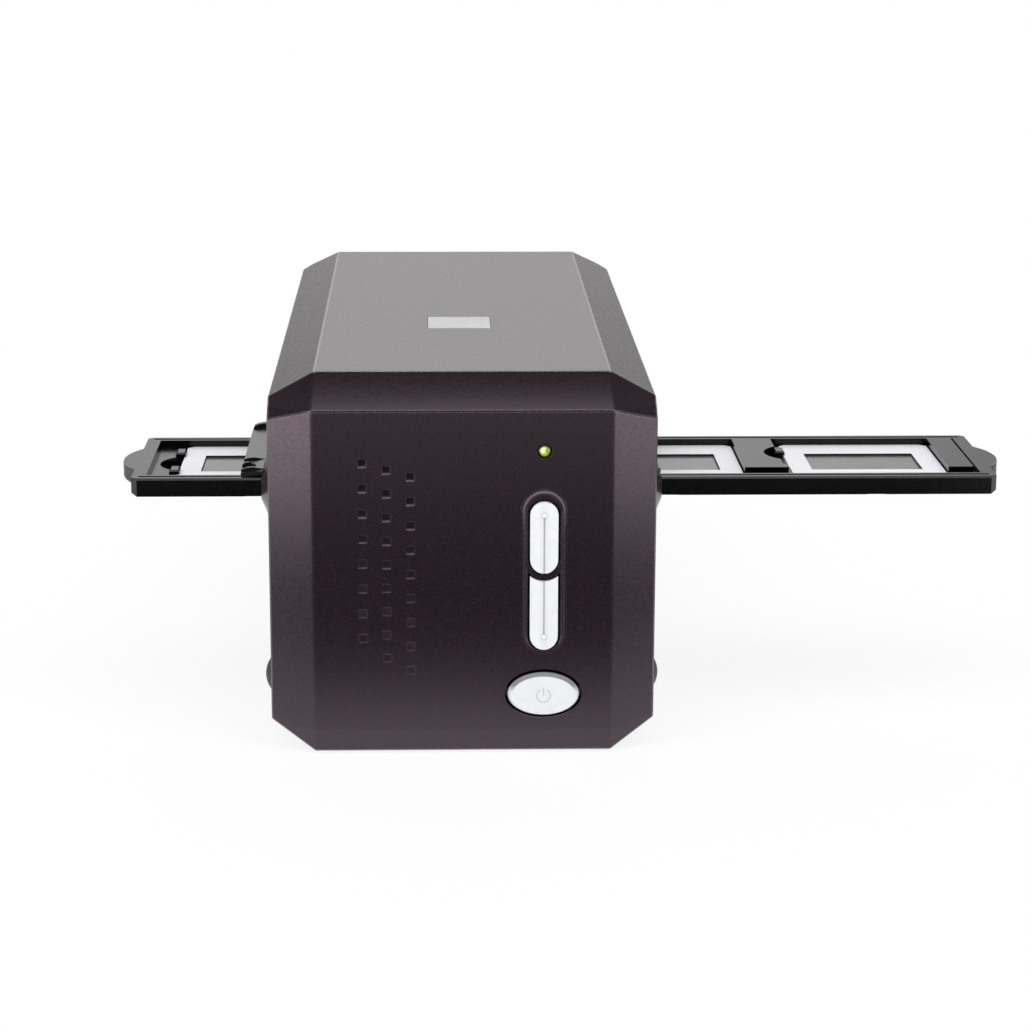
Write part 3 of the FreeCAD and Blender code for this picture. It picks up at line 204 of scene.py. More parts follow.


# Painted highlight: a pale band on each rounded edge away from the face's middle, and a line on the
# top's long edges.
def painted_edge_highlights(tree, place, rounded, off_middle, off_height):
    flat = add_node(tree, "ShaderNodeNewGeometry", {}, "True Normal")
    turn = maths(tree, "SUBTRACT", 1.0, arrow_maths(tree, "DOT_PRODUCT", rounded, flat))
    beside_face = ramp(tree, off_middle, *FACE_HALF_WIDTH)
    over_or_under_face = ramp(tree, off_height, *FACE_HALF_HEIGHT)
    behind_face = ramp(tree, place["Y"], *FACE_BACK)
    outside_face_middle = most(tree, beside_face, over_or_under_face, behind_face)
    top_line = ramp(tree, away_from(tree, off_middle, TOP_HALF_WIDTH), *TOP_LINE, EDGE_HIGHLIGHT_LEVEL, 0.0)
    return most(tree, product(tree, outside_face_middle, ramp(tree, turn, *EDGE_TURN, 0.0, EDGE_HIGHLIGHT_LEVEL)),
                product(tree, top_line, ramp(tree, place["Z"], *TOP_LEVEL)))


def field_of_dots(tree, place, off_height):
    return product(tree, fade(tree, away_from(tree, place["X"], DOTS_X), *DOTS_HALF_WIDTH),
                   fade(tree, place["Y"], *DOTS_BACK), fade(tree, off_height, *DOTS_HALF_HEIGHT))


# Painted highlight on the pits' upturned edges, weaker further down the face.
def lit_dot_edges(tree, place, rounded, in_dots):
    upturned = ramp(tree, split(tree, rounded)["Z"], *DOT_EDGE_TILT)
    light = ramp(tree, place["Z"], *DOT_EDGE_HEIGHT, 0.0, DOT_EDGE_LIGHT)
    return product(tree, in_dots, product(tree, upturned, light))


def from_button_line(tree, place):
    across = maths(tree, "SUBTRACT", place["X"], COLLAR_X)
    beyond = maths(tree, "SUBTRACT", place["Z"], held(tree, place["Z"], COLLAR_LOW, COLLAR_HIGH))
    squares = maths(tree, "ADD", product(tree, across, across), product(tree, beyond, beyond))
    return maths(tree, "SQRT", squares)


# Painted highlight: a pale line along the collar's crest, strongest at its top.
def painted_collar_highlight(tree, place, from_line, on_collar):
    crest = fade(tree, away_from(tree, from_line, COLLAR_HIGHLIGHT_LINE), *COLLAR_HIGHLIGHT_HALF)
    return product(tree, crest, on_collar, ramp(tree, place["Z"], *COLLAR_HIGHLIGHT_HEIGHT, *COLLAR_HIGHLIGHT_LEVEL))


def satin_shell():
    material, tree, surface, shade = moulded(
        "housing_satin", SHELL_BLACK, drift=0.10, roughness=0.27, grain_scale=2400.0,
        grain_depth=0.000006)
    surface.inputs["Specular Tint"].default_value = PURPLE_SHEEN
    place = split(tree, place_of(tree))
    off_middle = away_from(tree, place["X"], SHELL_X)
    off_height = away_from(tree, place["Z"], SHELL_Z)
    rounded = add_node(tree, "ShaderNodeBevel", {"Radius": EDGE_RADIUS}, samples=EDGE_SAMPLES)
    in_dots = field_of_dots(tree, place, off_height)
    from_line = from_button_line(tree, place)
    on_collar = fade(tree, place["Y"], *COLLAR_FOOT)

    # Painted highlights on the edges, the pits' lower edges and the collar's crest, laid on in pale
    # grey.
    painted_highlights = most(tree, painted_edge_highlights(tree, place, rounded, off_middle, off_height),
                lit_dot_edges(tree, place, rounded, in_dots),
                painted_collar_highlight(tree, place, from_line, on_collar))
    # Painted shade: the pit floors are painted near-black.
    in_pit = product(tree, in_dots, ramp(tree, place["Y"], *PIT_FLOOR))
    shade = blend_colours(tree, in_pit, shade, PIT_SHADE_BLACK)
    tree.links.new(blend_colours(tree, painted_highlights, shade, EDGE_HIGHLIGHT_GREY), surface.inputs["Base Color"])
    sheen = surface.inputs["Roughness"].links[0].from_socket
    pit_sheen = product(tree, in_pit, PIT_ROUGHNESS)
    tree.links.new(most(tree, sheen, pit_sheen), surface.inputs["Roughness"])

    grain = surface.inputs["Normal"].links[0].from_socket
    tree.links.new(rounded, grain.node.inputs["Normal"])
    on_facet = fade(tree, place["Y"], *FACET_BACK)
    crown = product(tree, arched(tree, place["Z"], FACET_TOP, FACET_FALL), on_facet)
    roll = product(tree, arched(tree, from_line, COLLAR_CREST, COLLAR_HALF), on_collar)
    crowned = relief(tree, crown, FACET_CROWN, under=grain)
    tree.links.new(relief(tree, roll, COLLAR_ROLL, under=crowned), surface.inputs["Normal"])
    return material


finish_nodes(satin_shell(), "front_bezel", "top_cover", "base_tray", "rear_cover")


# Badge plate: a bare pressed plate of brushed silver, glued into a shallow seat on the top.
# It is brushed from side to side, and its edge is rolled over.
BADGE_LEFT, BADGE_RIGHT, BADGE_FRONT, BADGE_REAR = -0.04375, -0.02265, -0.0447, -0.0229
BADGE_UNDERSIDE, BADGE_TOP = 0.1197, 0.11997
BADGE_CORNER, BADGE_ROLL, ROLL_SHOULDER, CORNER_STEPS = 0.0008, 0.00012, 0.3, 5
SILVER_DARK, SILVER_LIGHT = (0.29, 0.285, 0.295), (0.39, 0.385, 0.395)
SILVER_ROUGHNESS, SILVER_METALLIC = (0.34, 0.48), 0.85
BRUSH_SCALE, BRUSH_DETAIL, BRUSH_STRETCH, BRUSH_DEPTH = 1400.0, 5.0, (0.04, 1.0, 1.0), 0.00001


def badge_ring(mesh, inset, z):
    reach = BADGE_CORNER - inset
    left, right = BADGE_LEFT + BADGE_CORNER, BADGE_RIGHT - BADGE_CORNER
    front, rear = BADGE_FRONT + BADGE_CORNER, BADGE_REAR - BADGE_CORNER
    points = []
    for quarter, (x, y) in enumerate(((right, rear), (left, rear), (left, front), (right, front))):
        for step in range(CORNER_STEPS + 1):
            angle = (quarter + step / CORNER_STEPS) * math.pi / 2
            across, along = reach * math.cos(angle), reach * math.sin(angle)
            points.append(mesh.verts.new((x + across, y + along, z)))
    return points


def pressed_badge():
    mesh = bmesh.new()
    shoulder = BADGE_ROLL * ROLL_SHOULDER
    outline = ((0, BADGE_UNDERSIDE), (0, BADGE_TOP - BADGE_ROLL), (shoulder, BADGE_TOP - shoulder),
               (BADGE_ROLL, BADGE_TOP))
    rings = [badge_ring(mesh, inset, z) for inset, z in outline]
    for low, high in zip(rings, rings[1:]):
        for index in range(len(low)):
            following = (index + 1) % len(low)
            mesh.faces.new((low[index], low[following], high[following], high[index]))
    mesh.faces.new(rings[-1])
    mesh.faces.new(list(reversed(rings[0])))
    data = bpy.data.meshes.new("badge_plate")
    mesh.to_mesh(data)
    mesh.free()
    piece = bpy.data.objects.new("badge_plate", data)
    bpy.context.scene.collection.objects.link(piece)
    return piece


def brushed_silver():
    material, tree, surface = start_finish("brushed_silver")
    strokes = noise(tree, BRUSH_SCALE, BRUSH_DETAIL, BRUSH_STRETCH)
    tree.links.new(blend_colours(tree, spread(tree, strokes), SILVER_DARK, SILVER_LIGHT),
                   surface.inputs["Base Color"])
    tree.links.new(spread(tree, strokes, *SILVER_ROUGHNESS), surface.inputs["Roughness"])
    tree.links.new(relief(tree, strokes, BRUSH_DEPTH, strength=0.4), surface.inputs["Normal"])
    surface.inputs["Metallic"].default_value = SILVER_METALLIC
    return material


badge_plate = pressed_badge()
badge_plate.data.materials.append(brushed_silver())
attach(badge_plate, "housing")


# Slot surrounds: bulged frames round the film slots, in a darker, smoother black than the shells.
# Each is moulded on its own and pressed into the side wall from outside.
surround_black = moulded("surround_black", (0.0110, 0.0085, 0.0100), drift=0.12, roughness=0.26,
                         grain_scale=2000.0, grain_depth=0.00001, specular=0.6)[0]
finish_nodes(surround_black, "left_slot_bezel", "right_slot_bezel")


# Dust doors: polished black flaps that rest on the holder while it is in the slot.
# Each is one moulding, and swings on a turned steel pin above the slot.
door_black = moulded("door_black", (0.0075, 0.0075, 0.0080), drift=0.15, roughness=0.19,
                     grain_scale=700.0, grain_depth=0.00001, specular=0.34,
                     stretch=(1.0, 0.3, 1.0))[0]
finish_nodes(door_black, "left_dust_door", "right_dust_door")


# Status light: a clear yellow-green lens with its lamp lit behind it, so that it glows.
# It has a painted highlight on one side, painted darker green shade beside it, and a painted rim
# shadow.
LIGHT_X, LIGHT_Z, LIGHT_GLOW = -0.00795, 0.09755, 0.25
LENS_CLOUDS, LENS_ROUGHNESS = 900.0, (0.08, 0.14)
LENS_GREEN, LENS_HIGHLIGHT = (0.24, 0.36, 0.03), (0.66, 0.70, 0.26)
LENS_SHADE, LENS_RIM_SHADOW = (0.12, 0.24, 0.02), (0.03, 0.06, 0.01)
LENS_HIGHLIGHT_X, LENS_HIGHLIGHT_Z, LENS_HIGHLIGHT_REACH = LIGHT_X - 0.0005, LIGHT_Z + 0.0003, (0.0005, 0.0015)
LENS_SHADE_X, LENS_SHADE_Z, LENS_SHADE_REACH = LIGHT_X + 0.0007, LIGHT_Z + 0.0002, (0.0002, 0.0008)
RIM_SHADOW_REACH = (0.0012, 0.0016)


def distance_on_face(tree, x, z):
    flat = arrow_maths(tree, "MULTIPLY", place_of(tree), (1.0, 0.0, 1.0), "Vector")
    return arrow_maths(tree, "DISTANCE", flat, (x, 0.0, z))


def lit_lens():
    material, tree, surface = start_finish("lit_lens")
    pale = fade(tree, distance_on_face(tree, LENS_HIGHLIGHT_X, LENS_HIGHLIGHT_Z), *LENS_HIGHLIGHT_REACH)
    deep = fade(tree, distance_on_face(tree, LENS_SHADE_X, LENS_SHADE_Z), *LENS_SHADE_REACH)
    rim = ramp(tree, distance_on_face(tree, LIGHT_X, LIGHT_Z), *RIM_SHADOW_REACH)
    # The painted highlight, shade and rim shadow are fed to the glow as well.
    glow = blend_colours(tree, pale, LENS_GREEN, LENS_HIGHLIGHT)
    glow = blend_colours(tree, deep, glow, LENS_SHADE)
    glow = blend_colours(tree, rim, glow, LENS_RIM_SHADOW)
    tree.links.new(glow, surface.inputs["Base Color"])
    tree.links.new(glow, surface.inputs["Emission Color"])
    sheen = spread(tree, noise(tree, LENS_CLOUDS), *LENS_ROUGHNESS)
    tree.links.new(sheen, surface.inputs["Roughness"])
    surface.inputs["Emission Strength"].default_value = LIGHT_GLOW
    return material


finish_nodes(lit_lens(), "status_light")


# Scan buttons: white satin caps, whose clips and skirt stay in the gap and are painted black as
# shade.
# Each has a fine pressed line down its middle, in a shallow valley, ending in a small round bead.
SCAN_WHITE, SKIRT_SHADE_BLACK = (0.70, 0.705, 0.725), (0.006, 0.006, 0.006)
SKIRT_SHADE_FRONT = (-0.1335, -0.1331)
BUTTON_X, UPPER_BEAD_Z, LOWER_BEAD_Z = -0.00795, 0.0776, 0.03895
LINE_SHADE_GREY, LINE_HALF, LINE_DEPTH = (0.30, 0.32, 0.34), (0.00008, 0.00065), 0.30
VALLEY_SHADE_GREY, VALLEY_HALF, VALLEY_DEPTH = (0.46, 0.48, 0.50), 0.0022, 0.22
GROOVE_SHADE_GREY, GROOVE_DEPTH = (0.42, 0.44, 0.46), 0.45
GROOVE_INSIDE, GROOVE_OUTSIDE = (0.0006, 0.0009), (0.0010, 0.0014)
BEAD_HIGHLIGHT_WHITE, BEAD_REACH, LINE_END = (0.80, 0.80, 0.81), (0.0005, 0.0007), 0.0006


def white_cap_with_skirt_shade(name, colour, marks):
    material, tree, surface, shade = moulded(
        name, colour, drift=0.02, roughness=0.34, grain_scale=1500.0, grain_depth=0.00001)
    # Painted shade: all of the cap behind the front of the face is painted near-black.
    skirt = ramp(tree, split(tree, place_of(tree))["Y"], *SKIRT_SHADE_FRONT)
    shade = blend_colours(tree, skirt, marks(tree, shade), SKIRT_SHADE_BLACK)
    tree.links.new(shade, surface.inputs["Base Color"])
    return material


# Painted shade: the line and the valley round it are painted grey, and so is a ring round each
# bead.
def line_shade_and_bead_highlight(tree, shade):
    place = split(tree, place_of(tree))
    from_line = away_from(tree, place["X"], BUTTON_X)
    between_beads = band(tree, place["Z"], (LOWER_BEAD_Z, LOWER_BEAD_Z + LINE_END),
                         (UPPER_BEAD_Z - LINE_END, UPPER_BEAD_Z))
    line = product(tree, fade(tree, from_line, *LINE_HALF), between_beads)
    shade = blend_colours(tree, product(tree, line, LINE_DEPTH), shade, LINE_SHADE_GREY)
    valley = ramp(tree, from_line, 0.0, VALLEY_HALF, VALLEY_DEPTH, 0.0)
    shade = blend_colours(tree, valley, shade, VALLEY_SHADE_GREY)
    for bead_z in (UPPER_BEAD_Z, LOWER_BEAD_Z):
        from_bead = distance_on_face(tree, BUTTON_X, bead_z)
        groove = band(tree, from_bead, GROOVE_INSIDE, GROOVE_OUTSIDE)
        shade = blend_colours(tree, product(tree, groove, GROOVE_DEPTH), shade, GROOVE_SHADE_GREY)
        # Painted highlight: each bead is painted paler than the cap.
        shade = blend_colours(tree, fade(tree, from_bead, *BEAD_REACH), shade, BEAD_HIGHLIGHT_WHITE)
    return shade


scan_white = white_cap_with_skirt_shade("scan_white", SCAN_WHITE, line_shade_and_bead_highlight)
finish_nodes(scan_white, "upper_scan_button", "lower_scan_button")


# Power button: a wide oval cap in the same white and skirt shade, with painted shade on its upper
# rim.
# It carries the usual power sign, a ring with a gap and a stroke, printed small and pale.
POWER_WHITE, POWER_Z = (0.665, 0.67, 0.685), 0.0199
OVAL_HALF_WIDTH, OVAL_HALF_HEIGHT = 0.01115, 0.0069
RIM_SHADE_GREY, RIM_SHADE_DEPTH = (0.16, 0.16, 0.18), 0.9
RIM_STARTS, RIM_RISE = (0.875, 0.905), (0.0005, 0.0035)
SIGN_GREY, SIGN_DEPTH = (0.30, 0.31, 0.33), 0.50
SIGN_INSIDE, SIGN_OUTSIDE = (0.00170, 0.00200), (0.00220, 0.00250)
GAP_HALF, GAP_RISE = (0.0007, 0.0010), (0.0, 0.0005)
STROKE_HALF, STROKE_FOOT, STROKE_HEAD = (0.00015, 0.00040), (-0.0002, 0.0001), (0.0025, 0.0029)


def power_sign(tree, shade):
    place = split(tree, place_of(tree))
    across = maths(tree, "SUBTRACT", place["X"], BUTTON_X)
    upwards = maths(tree, "SUBTRACT", place["Z"], POWER_Z)
    wide = maths(tree, "POWER", maths(tree, "DIVIDE", across, OVAL_HALF_WIDTH), 2.0)
    tall = maths(tree, "POWER", maths(tree, "DIVIDE", upwards, OVAL_HALF_HEIGHT), 2.0)
    oval = maths(tree, "SQRT", maths(tree, "ADD", wide, tall))
    # Painted shade: the upper rim is painted grey, darker towards the top.
    rim = product(tree, ramp(tree, oval, *RIM_STARTS), ramp(tree, upwards, *RIM_RISE))
    shade = blend_colours(tree, product(tree, rim, RIM_SHADE_DEPTH), shade, RIM_SHADE_GREY)
    from_middle = distance_on_face(tree, BUTTON_X, POWER_Z)
    ring = band(tree, from_middle, SIGN_INSIDE, SIGN_OUTSIDE)
    sideways = maths(tree, "ABSOLUTE", across)
    gap = product(tree, fade(tree, sideways, *GAP_HALF), ramp(tree, upwards, *GAP_RISE))
    ends = band(tree, upwards, STROKE_FOOT, STROKE_HEAD)
    stroke = product(tree, fade(tree, sideways, *STROKE_HALF), ends)
    sign = held(tree, most(tree, maths(tree, "SUBTRACT", ring, gap), stroke))
    return blend_colours(tree, product(tree, sign, SIGN_DEPTH), shade, SIGN_GREY)


finish_nodes(white_cap_with_skirt_shade("power_white", POWER_WHITE, power_sign), "power_button")


# Slide holder: one long polished black moulding that slides through the housing from side to side.
# It has a pocket for each slide and a finger lobe at each end, and flow marks make it softly wavy.
holder_black = moulded("holder_black", (0.0012, 0.0012, 0.0018), drift=0.15, roughness=0.17,
                       grain_scale=260.0, grain_depth=0.00005, specular=0.28, grain_strength=0.5)[0]
finish_nodes(holder_black, "holder_frame")


# Grip ribs: fine upright ribs round the rim of each finger lobe, moulded with the holder.
# They follow the lobe's arc at an even pitch, and are a little shorter than its rim.
RIB_SIZES = {"Lobe Centre": 0.116896, "Lobe Radius": 0.026104, "Middle Y": -0.075,
             "Middle Z": 0.07985, "Half Angle": 0.60, "Rib Count": 35, "Rib Radius": 0.00026,
             "Rib Height": 0.0043, "Rib Sink": 0.00013}
RIB_SIDES = 8


def start_tree(name, sizes):
    tree = bpy.data.node_groups.new(name, "GeometryNodeTree")
    for size, value in sizes.items():
        kind = "NodeSocketInt" if isinstance(value, int) else "NodeSocketFloat"
        tree.interface.new_socket(size, in_out="INPUT", socket_type=kind)
    tree.interface.new_socket("Geometry", in_out="OUTPUT", socket_type="NodeSocketGeometry")
    return tree, tree.nodes.new("NodeGroupInput").outputs


def wire_all(tree, shapes, socket):
    for shape in shapes:
        tree.links.new(shape, socket)


def joined(tree, *shapes):
    node = tree.nodes.new("GeometryNodeJoinGeometry")
    wire_all(tree, shapes, node.inputs[0])
    return node.outputs[0]


def arrow_to(tree, x=0.0, y=0.0, z=0.0):
    return add_node(tree, "ShaderNodeCombineXYZ", {"X": x, "Y": y, "Z": z})


def moved(tree, shape, place=(0.0, 0.0, 0.0), turn=(0.0, 0.0, 0.0)):
    where = {"Geometry": shape, "Translation": place, "Rotation": turn}
    return add_node(tree, "GeometryNodeTransform", where)


def rod(tree, sides, radius, length):
    sizes = {"Vertices": sides, "Radius": radius, "Depth": length}
    return add_node(tree, "GeometryNodeMeshCylinder", sizes, "Mesh")


def grow(tree, name, sizes, shape, material):
    solid = add_node(tree, "GeometryNodeRealizeInstances", {"Geometry": shape})
    coated = add_node(tree, "GeometryNodeSetMaterial", {"Geometry": solid, "Material": material})
    tree.links.new(coated, tree.nodes.new("NodeGroupOutput").inputs[0])
    piece = bpy.data.objects.new(name, bpy.data.meshes.new(name))
    bpy.context.scene.collection.objects.link(piece)
    modifier = piece.modifiers.new("grow", "NODES")
    modifier.node_group = tree
    for item in tree.interface.items_tree:
        if item.in_out == "INPUT":
            modifier[item.identifier] = sizes[item.name]
    grown = piece.evaluated_get(bpy.context.evaluated_depsgraph_get())
    mesh = bpy.data.meshes.new_from_object(grown)
    piece.modifiers.clear()
    piece.data = mesh
    return piece


tree, given = start_tree("grip_ribs", RIB_SIZES)
arc = add_node(tree, "GeometryNodeCurveArc", {
    "Resolution": given["Rib Count"],
    "Radius": maths(tree, "SUBTRACT", given["Lobe Radius"], given["Rib Sink"]),
    "Start Angle": maths(tree, "MULTIPLY", given["Half Angle"], -1.0),
    "Sweep Angle": maths(tree, "MULTIPLY", given["Half Angle"], 2.0)}, "Curve")
rib = rod(tree, RIB_SIDES, given["Rib Radius"], given["Rib Height"])
row = add_node(tree, "GeometryNodeInstanceOnPoints", {"Points": arc, "Instance": rib})
lobe_rows = []
for side, half_turn in ((1.0, 0.0), (-1.0, math.pi)):
    lobe_x = maths(tree, "MULTIPLY", given["Lobe Centre"], side)
    lobe_middle = arrow_to(tree, lobe_x, given["Middle Y"], given["Middle Z"])
    lobe_rows.append(moved(tree, row, lobe_middle, (0.0, 0.0, half_turn)))
grip_ribs = grow(tree, "grip_ribs", RIB_SIZES, joined(tree, *lobe_rows), holder_black)
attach(grip_ribs, "film_holder")


# Slides: white plastic frames in two welded halves round a piece of film, snapped into the holder.
# The inside of the window is coloured near-black, and the film is a smooth cloudy grey.
SLIDE_CENTRES, SLIDE_Y = (-0.09915, -0.03305, 0.03305, 0.09915), -0.075
WINDOW_HALF_WIDTH, WINDOW_HALF_DEPTH, WALL_STARTS, WALL_ENDS = 0.018, 0.0115, 0.00003, 0.00012
SLIDE_WHITE, WALL_BLACK = (0.62, 0.62, 0.655), (0.008, 0.008, 0.009)


def slide_white(name, centre):
    material, tree, surface, shade = moulded(name, SLIDE_WHITE, drift=0.02, roughness=0.42,
                                             grain_scale=1300.0, grain_depth=0.00001)
    place = split(tree, place_of(tree))
    window = (("X", centre, WINDOW_HALF_WIDTH), ("Y", SLIDE_Y, WINDOW_HALF_DEPTH))
    inside = [fade(tree, away_from(tree, place[axis], middle), half + WALL_STARTS, half + WALL_ENDS)
              for axis, middle, half in window]
    shade = blend_colours(tree, product(tree, *inside), shade, WALL_BLACK)
    tree.links.new(shade, surface.inputs["Base Color"])
    return material


film_grey = moulded("film_grey", (0.095, 0.088, 0.088), drift=0.18, roughness=0.20,
                    grain_scale=90.0, grain_depth=0.000004, stretch=(0.3, 0.7, 1.0))[0]
for number, centre in enumerate(SLIDE_CENTRES, 1):
    finish_nodes(slide_white("slide_white_%d" % number, centre), "slide_mount_%d" % number)
    finish_nodes(film_grey, "film_chip_%d" % number)


# Rubber feet and side bumpers: matt black moulded rubber with a dusty bloom.
# The feet are pressed into the base tray, and the bumpers stand out low on the side walls.
rubber_black = moulded("rubber_black", (0.020, 0.019, 0.020), drift=0.25, roughness=0.68,
                       grain_scale=1400.0, grain_depth=0.00003)[0]
finish_nodes(rubber_black, "rubber_feet", "side_bumpers")


# Rear screws: blackened steel, with a cross recess, driven through the rear cover into the base.
# Their heads are flush with the cover, with a small chamfer round the top.
SCREW_SIZES = {"Left X": -0.0732167, "Spacing": 0.0803334, "Rear Y": 0.136, "Height Z": 0.020,
               "Head Radius": 0.0028, "Head Height": 0.0013, "Chamfer": 0.00032,
               "Shank Radius": 0.0014, "Shank Length": 0.0188, "Recess Length": 0.0030,
               "Recess Width": 0.00085, "Recess Depth": 0.0009, "Seed": 4}
HEAD_SIDES, SHANK_SIDES = 40, 24
QUARTER_TURN = math.pi / 2
METAL_DETAIL, METAL_DARKENING = 6.0, 0.9

# Where the Random Value node has the limits of each screw's turn, and the turn that it draws.
LEAST_TURN, MOST_TURN, DRAWN_TURN = 2, 3, 1


def metal(name, colour, roughness, grain_scale, stretch=EVEN):
    material, tree, surface = start_finish(name)
    grain = noise(tree, grain_scale, METAL_DETAIL, stretch)
    dark = [part * METAL_DARKENING for part in colour]
    shade = blend_colours(tree, spread(tree, grain), dark, colour)
    tree.links.new(shade, surface.inputs["Base Color"])
    tree.links.new(spread(tree, grain, *roughness), surface.inputs["Roughness"])
    surface.inputs["Metallic"].default_value = 1.0
    return material


def lifted(tree, shape, height):
    return moved(tree, shape, arrow_to(tree, z=height))


tree, given = start_tree("cross_screws", SCREW_SIZES)
head_height, chamfer = given["Head Height"], given["Chamfer"]
rim = rod(tree, HEAD_SIDES, given["Head Radius"], maths(tree, "SUBTRACT", head_height, chamfer))
rim = lifted(tree, rim, maths(tree, "MULTIPLY", maths(tree, "ADD", head_height, chamfer), -0.5))
crown = add_node(tree, "GeometryNodeMeshCone", {
    "Vertices": HEAD_SIDES, "Radius Top": maths(tree, "SUBTRACT", given["Head Radius"], chamfer),
    "Radius Bottom": given["Head Radius"], "Depth": chamfer}, "Mesh")
crown = lifted(tree, crown, maths(tree, "MULTIPLY", chamfer, -1.0))
shank = rod(tree, SHANK_SIDES, given["Shank Radius"], given["Shank Length"])
half_down = maths(tree, "MULTIPLY", given["Shank Length"], -0.5)
shank = lifted(tree, shank, maths(tree, "SUBTRACT", half_down, chamfer))
whole = add_node(tree, "GeometryNodeMeshBoolean", {}, "Mesh", operation="UNION", solver="EXACT")
wire_all(tree, (rim, crown, shank), whole.node.inputs["Mesh 2"])
cutter_height = maths(tree, "MULTIPLY", given["Recess Depth"], 2.0)
cutter_size = arrow_to(tree, given["Recess Length"], given["Recess Width"], cutter_height)
cutter = add_node(tree, "GeometryNodeMeshCube", {"Size": cutter_size}, "Mesh")
cut = add_node(tree, "GeometryNodeMeshBoolean", {"Mesh 1": whole}, "Mesh", operation="DIFFERENCE",
               solver="EXACT")
crossed = moved(tree, cutter, turn=(0.0, 0.0, QUARTER_TURN))
wire_all(tree, (cutter, crossed), cut.node.inputs["Mesh 2"])
left_screw = arrow_to(tree, given["Left X"], given["Rear Y"], given["Height Z"])
places = add_node(tree, "GeometryNodeMeshLine", {
    "Count": 2, "Start Location": left_screw, "Offset": arrow_to(tree, given["Spacing"])})
driven = add_node(tree, "FunctionNodeRandomValue", {
    LEAST_TURN: 0.0, MOST_TURN: QUARTER_TURN, "Seed": given["Seed"]}, DRAWN_TURN)
screws = add_node(tree, "GeometryNodeInstanceOnPoints", {
    "Points": places, "Instance": moved(tree, cut, turn=(-QUARTER_TURN, 0.0, 0.0)),
    "Rotation": arrow_to(tree, y=driven)})
screw_black = metal("screw_black", (0.16, 0.16, 0.165), roughness=(0.28, 0.42), grain_scale=900.0)
rear_screws = grow(tree, "cross_screws", SCREW_SIZES, screws, screw_black)
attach(rear_screws, "housing")
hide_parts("rear_screws")


# Sockets: a nickel-plated data socket with four gilt contacts, and a black power jack with its pin.
# Both are soldered to the main board and look out through the rear cover.
# Each contact is a flat strip that dips at its nose, two above the socket's tongue and two below.
CONTACT_SIZES = {"Middle X": -0.053133, "Middle Z": 0.0201, "Middle Y": 0.1293, "Length": 0.0052,
                 "Width": 0.0012, "Thickness": 0.0002, "Pitch": 0.0025, "Row Height": 0.00163,
                 "Nose Drop": 0.00022}
STRIP_STEPS, NOSE_STARTS = 12, 0.80

socket_nickel = metal("socket_nickel", (0.62, 0.61, 0.58), roughness=(0.20, 0.34),
                      grain_scale=900.0)
finish_nodes(socket_nickel, "usb_socket")
tree, given = start_tree("socket_contacts", CONTACT_SIZES)
half_length = maths(tree, "MULTIPLY", given["Length"], 0.5)
line = add_node(tree, "GeometryNodeCurvePrimitiveLine", {
    "Start": arrow_to(tree, y=maths(tree, "MULTIPLY", half_length, -1.0)),
    "End": arrow_to(tree, y=half_length)}, "Curve")
line = add_node(tree, "GeometryNodeResampleCurve", {"Curve": line, "Count": STRIP_STEPS})
along = add_node(tree, "GeometryNodeSplineParameter", {}, "Factor")
drop = maths(tree, "MULTIPLY", ramp(tree, along, NOSE_STARTS, 1.0, 0.0, -1.0), given["Nose Drop"])
dipped = {"Geometry": line, "Offset": arrow_to(tree, z=drop)}
line = add_node(tree, "GeometryNodeSetPosition", dipped)
section = add_node(tree, "GeometryNodeCurvePrimitiveQuadrilateral", {
    "Width": given["Width"], "Height": given["Thickness"]})
strip = add_node(tree, "GeometryNodeCurveToMesh", {
    "Curve": line, "Profile Curve": section, "Fill Caps": True})
start = arrow_to(tree, maths(tree, "MULTIPLY", given["Pitch"], -0.5), 0.0, given["Row Height"])
pair = add_node(tree, "GeometryNodeMeshLine", {
    "Count": 2, "Start Location": start, "Offset": arrow_to(tree, given["Pitch"])})
top_pair = add_node(tree, "GeometryNodeInstanceOnPoints", {"Points": pair, "Instance": strip})
both = joined(tree, top_pair, moved(tree, top_pair, turn=(0.0, math.pi, 0.0)))
both = moved(tree, both, arrow_to(tree, given["Middle X"], given["Middle Y"], given["Middle Z"]))
gilt = metal("gilt_contacts", (0.83, 0.60, 0.24), roughness=(0.22, 0.34), grain_scale=1500.0)
socket_contacts = grow(tree, "socket_contacts", CONTACT_SIZES, both, gilt)
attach(socket_contacts, "housing")
jack_black = moulded("jack_black", (0.018, 0.018, 0.019), drift=0.15, roughness=0.45,
                     grain_scale=1200.0, grain_depth=0.00002)[0]
finish_nodes(jack_black, "power_jack", "tact_switches", "board_chips", "line_sensor")


# Inner works: glass-filled black mouldings, green boards, bronze bearings, steel rods and optics.
# They stand on the chassis inside the closed housing, and the lens and mirror ride the carriage.
GLASS_DARK, GLASS_LIGHT = (0.76, 0.80, 0.90), (0.80, 0.84, 0.92)
GLASS_CLOUDS, GLASS_ROUGHNESS = 500.0, 0.02

